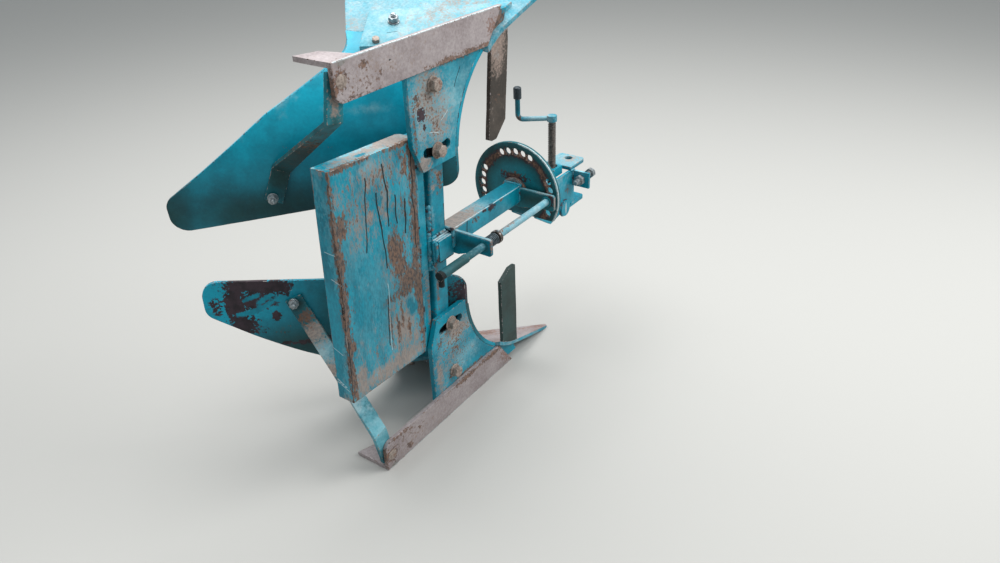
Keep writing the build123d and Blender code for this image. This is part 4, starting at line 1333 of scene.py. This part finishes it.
BRACE_MARKS: Marks = (
    *spots(Mark.CLAY, (-153, -13, 303, 9, 12, 18, 0.9)),
    # Darker over the brace's broad faces than along its top edge.
    *spots(
        Mark.DAMP_AND_SHADE, (-156, -13, 275, 12, 20, 26, 0.8), (-130, 90, 205, 70, 130, 60, 0.85),
        (-110, 185, 138, 30, 30, 30),
    ),
    *spots(Mark.OLD, (-132, 60, 225, 40, 60, 40, 0.56)),
)

LOWER_BRACE_MARKS: Marks = (
    *spots(Mark.DAMP_AND_SHADE, (-117, 197, -108, 16, 16, 10, 0.95)),
    *spots(Mark.FRESH, (-109, 186, -134, 18, 18, 18, 0.8)),
    *spots(Mark.CLAY, (-112, 168, -158, 24, 26, 26, 0.9), (-133, 112, -204, 20, 24, 18, 0.8)),
    *spots(
        Mark.WASH_AND_HIGHLIGHT, (-122, 138, -180, 24, 24, 16), (-128, 120, -190, 10, 26, 20, 0.75),
        (-150, 60, -235, 30, 44, 30),
    ),
    *spots(Mark.SUN, (-155, 0, -280, 30, 50, 40)),
)

BOARD_MARKS: Marks = (
    *spots(Mark.SUN, (15, 92, 232, 30, 30, 8, 0.62), (-30, 130, 236, 24, 24, 6, 0.55)),
    # Painted shade and a painted green reflection: the board darkens towards its tail and along its lower
    # edge near the slab.
    *spots(
        Mark.DAMP_AND_SHADE, (-250, 340, 80, 90, 90, 90), (-100, 190, 76, 220, 220, 52), (60, 30, 90, 120, 120, 80),
    ),
    *scars(Mark.SCRATCH_AND_HIGHLIGHT, (-60, 168, 196, -40, 146, 190, 1.6)),
)

LOWER_BOARD_MARKS: Marks = (
    *spots(
        Mark.SCALE, (-166, 262, -62, 42, 42, 15), (-140, 236, -70, 40, 40, 14),
        (-124, 217, -77, 14, 14, 14, 0.95), (-184, 278, -98, 19, 19, 40), (-162, 253, -94, 26, 26, 20),
        (-142, 233, -98, 14, 14, 12, 0.9), (-141, 227, -128, 8, 8, 12, 0.95),
        (-182, 270, -136, 24, 24, 22, 0.95), (-208, 301, -96, 16, 16, 26, 0.66),
        (-204, 292, -108, 6, 6, 6, 0.7), (-137, 221, -188, 12, 12, 5, 0.9),
        (-118, 200, -190, 34, 34, 5, 0.8), (-96, 180, -190, 40, 40, 8, 0.9),
        (-168, 258, -150, 30, 30, 14, 0.62), (103, -13, -124, 60, 60, 40, 0.7),
    ),
    # Painted shade: the lower board darkens towards its bottom and near the slab.
    *spots(
        Mark.DAMP_AND_SHADE, (-110, 195, -206, 160, 160, 56), (130, 0, -170, 70, 60, 90),
        (-50, 140, -140, 70, 80, 90), (40, 50, -120, 80, 80, 60, 0.8),
    ),
    *scars(
        Mark.KEPT, (-184, 274, -120, -158, 248, -110, 2.4), (-168, 258, -114, -134, 222, -96, 2.4),
        (-176, 266, -92, -156, 246, -84, 1.6), (-158, 249, -100, -140, 231, -88, 1.6),
    ),
    *scars(Mark.SCRATCH_AND_HIGHLIGHT, (-126, 214, -84, -112, 200, -79, 1, 1)),
)

KNIFE_MARKS: Marks = (
    *spots(Mark.CLAY, (216, -21, 300, 24, 8, 44, 0.95)),
    *spots(Mark.BARE, (214, -21, 285, 24, 8, 26, 0.5)),
    *spots(Mark.OLD, (205, -21, 215, 30, 8, 50, 0.36)),
)

# Painted shade: the whole lower knife darkened.
LOWER_KNIFE_MARKS = spots(Mark.DAMP_AND_SHADE, (210, -21, -215, 90, 40, 200))


# Sub-assemblies


@dataclass
class SubAssembly:
    """What the plough's groups share: the frame and the finishes they are made from."""

    frame: dict[str, Any]
    finishes: Finishes

    def worn(
        self, node: str, finish: bpy.types.Material, marks: Marks = (), steel: WornSteel = WornSteel()
    ) -> None:
        """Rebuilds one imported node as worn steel."""
        steel.rebuild(self.frame, node, finish, marks)


def lean(x: float, y: float, z: float) -> Vector:
    """Tips a point with the slab, spine and post, which lean forward about the post's middle."""
    angle, middle = math.radians(2.7), 51.0
    cosine, sine = math.cos(angle), math.sin(angle)
    return Vector((middle + (x - middle) * cosine + z * sine, y, z * cosine - (x - middle) * sine))


def circle(centre: Vector, axis: Vector, radius: float) -> list[Vector]:
    """Gives points round a circle, with the first one again at the end.

    Args:
        centre: its centre, mm.
        axis: direction square to it.
        radius: mm.

    Returns:
        The points, mm.
    """
    frame = axis.normalized().to_track_quat("Z", "Y").to_matrix()
    turns = [math.radians(360.0 * i / 48) for i in range(49)]
    return [centre + frame @ Vector((radius * math.cos(t), radius * math.sin(t), 0)) for t in turns]


@dataclass
class SlabAndPost(SubAssembly):
    """The thick slab, its spine and the post, with their weld beads."""

    half: float = 190.0  # mm of bead each way along the spine
    slab_grid: float = 2.6

    def build(self) -> None:
        """Makes the slab, spine and post and lays their beads."""
        slab = WornSteel(edge=1.0, grid=self.slab_grid, dent=0.35)
        self.worn("frame_slab", self.finishes.slab, SLAB_MARKS, slab)
        self.worn("frame_spine", self.finishes.enamel, SPINE_MARKS, WornSteel(grid=5.0))
        self.worn("post", self.finishes.enamel, POST_MARKS, WornSteel(grid=4.0))
        stock = Stock()
        seams = (
            ((0.5, -1.4, -self.half), (0.5, -1.4, self.half), 2.6),
            ((0.5, 27.5, -self.half), (0.5, 27.5, self.half), 3.0),
            ((27.0, 1.5, -49), (27.5, 1.5, -18), 5.4),
            ((27.5, 1.0, -20), (26.5, 1.0, 26), 5.2),
            ((26.5, 0.8, 24), (28.0, 0.8, 72), 5.6),
            ((31.5, 14.5, -self.half), (31.5, 14.5, self.half), 3.0),
        )
        for seed, (start, end, radius) in enumerate(seams):
            stock.weld([lean(*start), lean(*end)], radius, seed + 3)
        rng = random.Random(5)
        for z in (70, 60, 49, 40, 31, -12, -31, -44):
            lump = [(4.6, 0), (4.2, 1.4), (2.8 + rng.uniform(-0.4, 0.6), 2.7), (1.0, 3.2)]
            stock.turned(lean(28.0, -2.0, z), Vector((0.1, -1, 0.1)), lump, 14)
        stock.finish("frame_weld_beads", "plough_frame", self.finishes.weld, "paint")


@dataclass
class TurningBeam(SubAssembly):
    """The square beam with its plates, lugs and hub, their weld beads and bushings."""

    half: float = 17.5
    start: float = 70.0
    end: float = 285.0
    lugs: tuple[float, float] = (75.0, 279.0)
    rod_y: float = -79.0

    def build(self) -> None:
        """Makes the beam's parts, lays their beads and sets the bushings."""
        fine = WornSteel(edge=0.7, grid=3.5, dent=0.2)
        self.worn("beam", self.finishes.enamel, BEAM_MARKS, WornSteel(edge=1.2, grid=3.5))
        self.worn("fish_plates", self.finishes.enamel, FISH_MARKS, fine)
        self.worn("lug_rear", self.finishes.enamel, LUG_REAR_MARKS, fine)
        self.worn("lug_front", self.finishes.shaded, LUG_FRONT_MARKS, fine)
        self.worn("turning_hub", self.finishes.rusted, (), WornSteel(edge=0.6, grid=6.0, dent=RUNNING_FIT))
        side = self.half
        stock = Stock()
        for seed, (x, radius) in enumerate(((self.start + 0.5, 3.6), (self.end - 0.8, 3.0))):
            around = ((-side, -side), (-side, side), (side, side), (side, -side), (-side, -side))
            corners = [Vector((x, y, z)) for y, z in around]
            stock.weld(corners, radius, seed + 20)
        for seed, x in enumerate(self.lugs):
            for offset in (-0.4, 6.4):
                seam = [Vector((x + offset, -side - 0.4, z)) for z in (-14, 13)]
                stock.weld(seam, 2.6, seed + 30)
        for seed, (start, end, radius) in enumerate((
            ((27.6, -10, -30), (27.6, -10, 12), 3.8),
            ((27.2, -15, -29), (27.2, -15, 11), 3.4),
            ((29, -4.5, -32.5), (68, -4.5, -32.5), 3.2),
            ((29, -4.5, 14.5), (68, -4.5, 14.5), 3.0),
            ((24, -5, -36), (30, -6, -46), 3.6),
        )):
            stock.weld([Vector(start), Vector(end)], radius, seed + 40)
        stock.finish("beam_weld_beads", "plough_frame", self.finishes.weld, "paint")
        rings = Stock()
        for x in self.lugs:
            for face, out in ((x - 0.2, -1), (x + 6.2, 1)):
                bushing = [(10.2, 0), (10.2, 0.8), (9.6, 1.3), (7.6, 1.3)]
                rings.turned(Vector((face, self.rod_y, 0)), Vector((out, 0, 0)), bushing, 40)
        rings.finish("lug_bushings", "plough_frame", self.finishes.shaded, "paint")


@dataclass
class LockRod(SubAssembly):
    """The index rod with its coil spring, its collar and the collar's screw."""

    axis_y: float = -79.0
    spring_from: float = 81.0
    spring_to: float = 111.0
    spring_radius: float = 9.2
    wire: float = 1.4
    turns: float = 7.0

    def build(self) -> None:
        """Makes the rod and collar, winds the spring and sets the screw."""
        self.worn("lock_rod", self.finishes.enamel, ROD_MARKS, WornSteel(edge=0.5, grid=4.0, dent=0.15))
        self.worn("lock_collar", self.finishes.oxide, (), WornSteel(edge=0.6, grid=6.0, dent=0.05))
        steps = int(self.turns * 28)
        travel = self.spring_to - self.spring_from - 2 * self.wire
        line = []
        for i in range(steps + 1):
            angle = i / steps * self.turns * 2 * math.pi
            across, up = self.spring_radius * math.cos(angle), self.spring_radius * math.sin(angle)
            line.append(Vector((self.spring_from + self.wire + travel * i / steps, self.axis_y + across, up)))
        stock = Stock()
        stock.swept(line, self.wire, 10)
        spring = self.finishes.spring
        stock.finish("lock_rod_coil_spring", "plough_frame", spring, "spring_steel", ("lock_spring",))
        pin = Stock()
        screw = [(1.9, 0), (2.4, 0.6), (2.4, 3.0), (1.9, 3.4)]
        pin.turned(Vector((114.5, self.axis_y - 3, 13.6)), DOWN, screw, 20)
        pin.finish("lock_collar_set_screw", "plough_frame", self.finishes.zinc, "plated_bolt")


@dataclass
class IndexDisc(SubAssembly):
    """The disc, its sleeve and tongue, with their weld beads."""

    face: float = 300.0
    sleeve: float = 19.0

    def build(self) -> None:
        """Makes the carrier's parts and lays their beads."""
        disc = WornSteel(edge=0.9, grid=4.0, dent=RUNNING_FIT)
        self.worn("index_disc", self.finishes.shaded, DISC_MARKS, disc)
        self.worn("pivot_sleeve", self.finishes.enamel, (), WornSteel(edge=0.6, grid=7.0, dent=RUNNING_FIT))
        self.worn("screw_tongue", self.finishes.enamel)
        stock = Stock()
        stock.weld(circle(Vector((self.face + 0.8, 0, 0)), AHEAD, self.sleeve + 0.6), 3.2, 60)
        stock.weld(circle(Vector((367.5, 0, 0)), AHEAD, self.sleeve - 0.4), 2.6, 61)
        stock.finish("carrier_weld_beads", "carrier", self.finishes.weld, "paint")


@dataclass
class CrankScrew(SubAssembly):
    """The depth screw with its thread, arm and grip."""

    x: float = 427.0
    low: float = -108.0
    high: float = 98.0
    radius: float = 8.0
    pitch: float = 4.0

    def build(self) -> None:
        """Cuts the threaded spindle and makes the arm and grip."""
        stock = Stock()
        stock.thread(Vector((self.x, 0, self.low)), -DOWN, self.radius, self.high - self.low, self.pitch, 24)
        stock.finish(
            "crank_screw_thread", "hitch", self.finishes.grease, "greased_screw", ("crank_spindle",),
            smooth=50.0,
        )
        arm = (
            Spot(Mark.WASH_AND_HIGHLIGHT, (self.x - 16, 22, 106), (34, 34, 14), 0.9),
            Spot(Mark.OLD, (390, 54, 106), (9, 9, 9), 0.85),
            Spot(Mark.DAMP_AND_SHADE, (388, 56, 130), (12, 12, 16), 0.7),
        )
        round_bar = WornSteel(edge=0.5, grid=5.0, dent=0.15)
        self.worn("crank_arm", self.finishes.enamel, arm, round_bar)
        self.worn("crank_knob", self.finishes.cap, (), WornSteel(edge=1.6, grid=8.0, dent=0.05))
        self.worn("screw_swivel", self.finishes.rusted, (), round_bar)


@dataclass
class HitchHead(SubAssembly):
    """The head's plates, ears, tabs and stop bolts, with their weld beads."""

    plate: float = 30.0
    bolt_y: float = 49.0
    bolt_z: float = -31.0

    def build(self) -> None:
        """Makes the head, lays its beads and sets its bolts."""
        for node, marks in (
            ("hitch_plate_near", HEAD_MARKS),
            ("hitch_plate_far", ()),
            ("hitch_ear_top", EAR_MARKS),
            ("hitch_ear_bottom", ()),
            ("stop_tab_near", ()),
            ("stop_tab_far", ()),
        ):
            self.worn(node, self.finishes.enamel, marks, WornSteel(edge=0.8, grid=4.0, dent=RUNNING_FIT))
        stock = Stock()
        for side in (-1, 1):
            y = side * self.plate
            for seed, z in enumerate((-12.4, -87.6)):
                seam = [Vector((x, y + side * 0.3, z)) for x in (453.5, 467.5)]
                stock.weld(seam, 2.4, seed + 70)
            stock.weld([Vector((461.6, y + side * 0.2, -46)), Vector((461.6, y + side * 0.2, -16))], 2.6, 75)
        stock.weld(circle(Vector((427, -self.plate - 0.2, -86)), LANDSIDE, 17.2), 1.8, 78)
        stock.finish("head_weld_beads", "hitch", self.finishes.weld, "paint")
        for side, name in ((-1, "near"), (1, "far")):
            self.stop_bolt(name, side * self.bolt_y)

    def stop_bolt(self, name: str, y: float) -> None:
        """Makes one stop bolt: its threaded shank, its head in front and its lock nut."""
        node = "stop_bolt_" + name
        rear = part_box(node)[0][0] * 1000 - SHIFT.x
        stock = Stock()
        stock.thread(Vector((rear, y, self.bolt_z)), AHEAD, 6.0, 498.5 - rear, 1.75)
        stock.hexagon(Vector((498, y, self.bolt_z)), AHEAD, 19.0, 9.7, turn=15.0)
        stock.hexagon(Vector((461.9, y, self.bolt_z)), -AHEAD, 19.0, 9.5, True, 38.0)
        stock.finish("stop_bolt_with_nut_" + name, "hitch", self.finishes.zinc, "plated_bolt", (node,))


@dataclass
class PloughBodies(SubAssembly):
    """The upper and the lower body: frog, landside, heel, brace, board, share and knife, with their bolts."""

    bolt: float = 19.0  # mm across flats
    foot: Point = (-119.0, 201.0, 102.6)
    seat_nut: Point = (127.0, 123.0, 340.0)
    seat_bolt: Point = (73.0, 116.0, 322.0)

    def build(self) -> None:
        """Makes both bodies and sets their bolts."""
        finishes = self.finishes
        plate = WornSteel(edge=0.8, grid=4.5, dent=0.3)
        bar = WornSteel(edge=0.8, grid=5.0, dent=0.35)
        sheet = WornSteel(edge=0.5, grid=5.0, dent=0.3, flat=False, scoured=Vector((0.7, 0.7, 0)))
        for side, sign, frog, brace, board in (
            ("_upper", 1, FROG_MARKS, BRACE_MARKS, BOARD_MARKS),
            ("_lower", -1, LOWER_FROG_MARKS, LOWER_BRACE_MARKS, LOWER_BOARD_MARKS),
        ):
            twin = mirrored if sign < 0 else tuple
            self.worn("frog" + side, finishes.enamel, frog, plate)
            self.worn("landside" + side, finishes.scoured, twin(LANDSIDE_MARKS), bar)
            self.worn("heel_flange" + side, finishes.scoured, (), bar)
            self.worn("brace" + side, finishes.shaded, brace, bar)
            self.worn("mouldboard" + side, finishes.board, board, sheet)
            polished = replace(plate, scoured=Vector((0.3, 0.3, -0.9 * sign)))
            self.worn("share" + side, finishes.share, twin(SHARE_MARKS), polished)
            self.worn("share_seat" + side, finishes.enamel, twin(SEAT_MARKS), plate)
            self.worn("knife" + side, finishes.oxide, KNIFE_MARKS if sign > 0 else LOWER_KNIFE_MARKS, bar)
            self.bolts(side, sign)

    def bolts(self, side: str, sign: int) -> None:
        """Sets one body's bolts.

        Args:
            side: end of the pieces' names.
            sign: 1 for the upper body and -1 for the lower.
        """
        dusty, zinc = self.finishes.dusty_bolt, self.finishes.zinc

        def here(point: Point) -> Vector:
            """Gives a point or direction of the upper body on this one."""
            return Vector(flipped(point, sign))

        for name, height, washer, turn in (
            ("frog_main_bolt", 276, 26.0, 10.0 + 6 * sign),
            ("frog_slot_bolt", 168, 28.0, 30.0 + 8 * sign),
        ):
            seat = here((52, -13, height))
            Bolt(name + side, seat, LANDSIDE, self.bolt, washer=washer, turn=turn).build(dusty)
        Bolt("heel_bolt" + side, here((-143, -21, 333)), LANDSIDE, 20.0, Fixing.FLUSH).build(dusty)
        out = here((-0.707, -0.702, -0.084))
        foot = here(self.foot) + out * 3.6
        Bolt("brace_foot_bolt" + side, foot, out, 14.0, Fixing.NUT, 18.0, 8.0).build(zinc)
        up = here((-0.27, -0.24, 0.93))
        Bolt("share_seat_nut" + side, here(self.seat_nut), up, 15.0, Fixing.NUT, 20.0, 12.0).build(zinc)
        tilted = here((-0.36, -0.35, 0.86))
        Bolt("share_seat_bolt" + side, here(self.seat_bolt), tilted, 11.0, turn=20.0).build(dusty)


def main() -> None:
    """Builds the studio, the finishes and every sub-assembly in order."""
    logging.basicConfig(level=logging.INFO, format="%(name)s: %(message)s")
    noise.seed_set(NOISE_SEED)
    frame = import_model()
    studio = Studio()
    studio.camera()
    studio.floor()
    studio.lights()
    finishes = Finishes()
    for kind in (SlabAndPost, TurningBeam, LockRod, IndexDisc, CrankScrew, HitchHead, PloughBodies):
        LOG.info("building %s", kind.__name__)
        kind(frame, finishes).build()


if __name__ == "__main__":
    main()
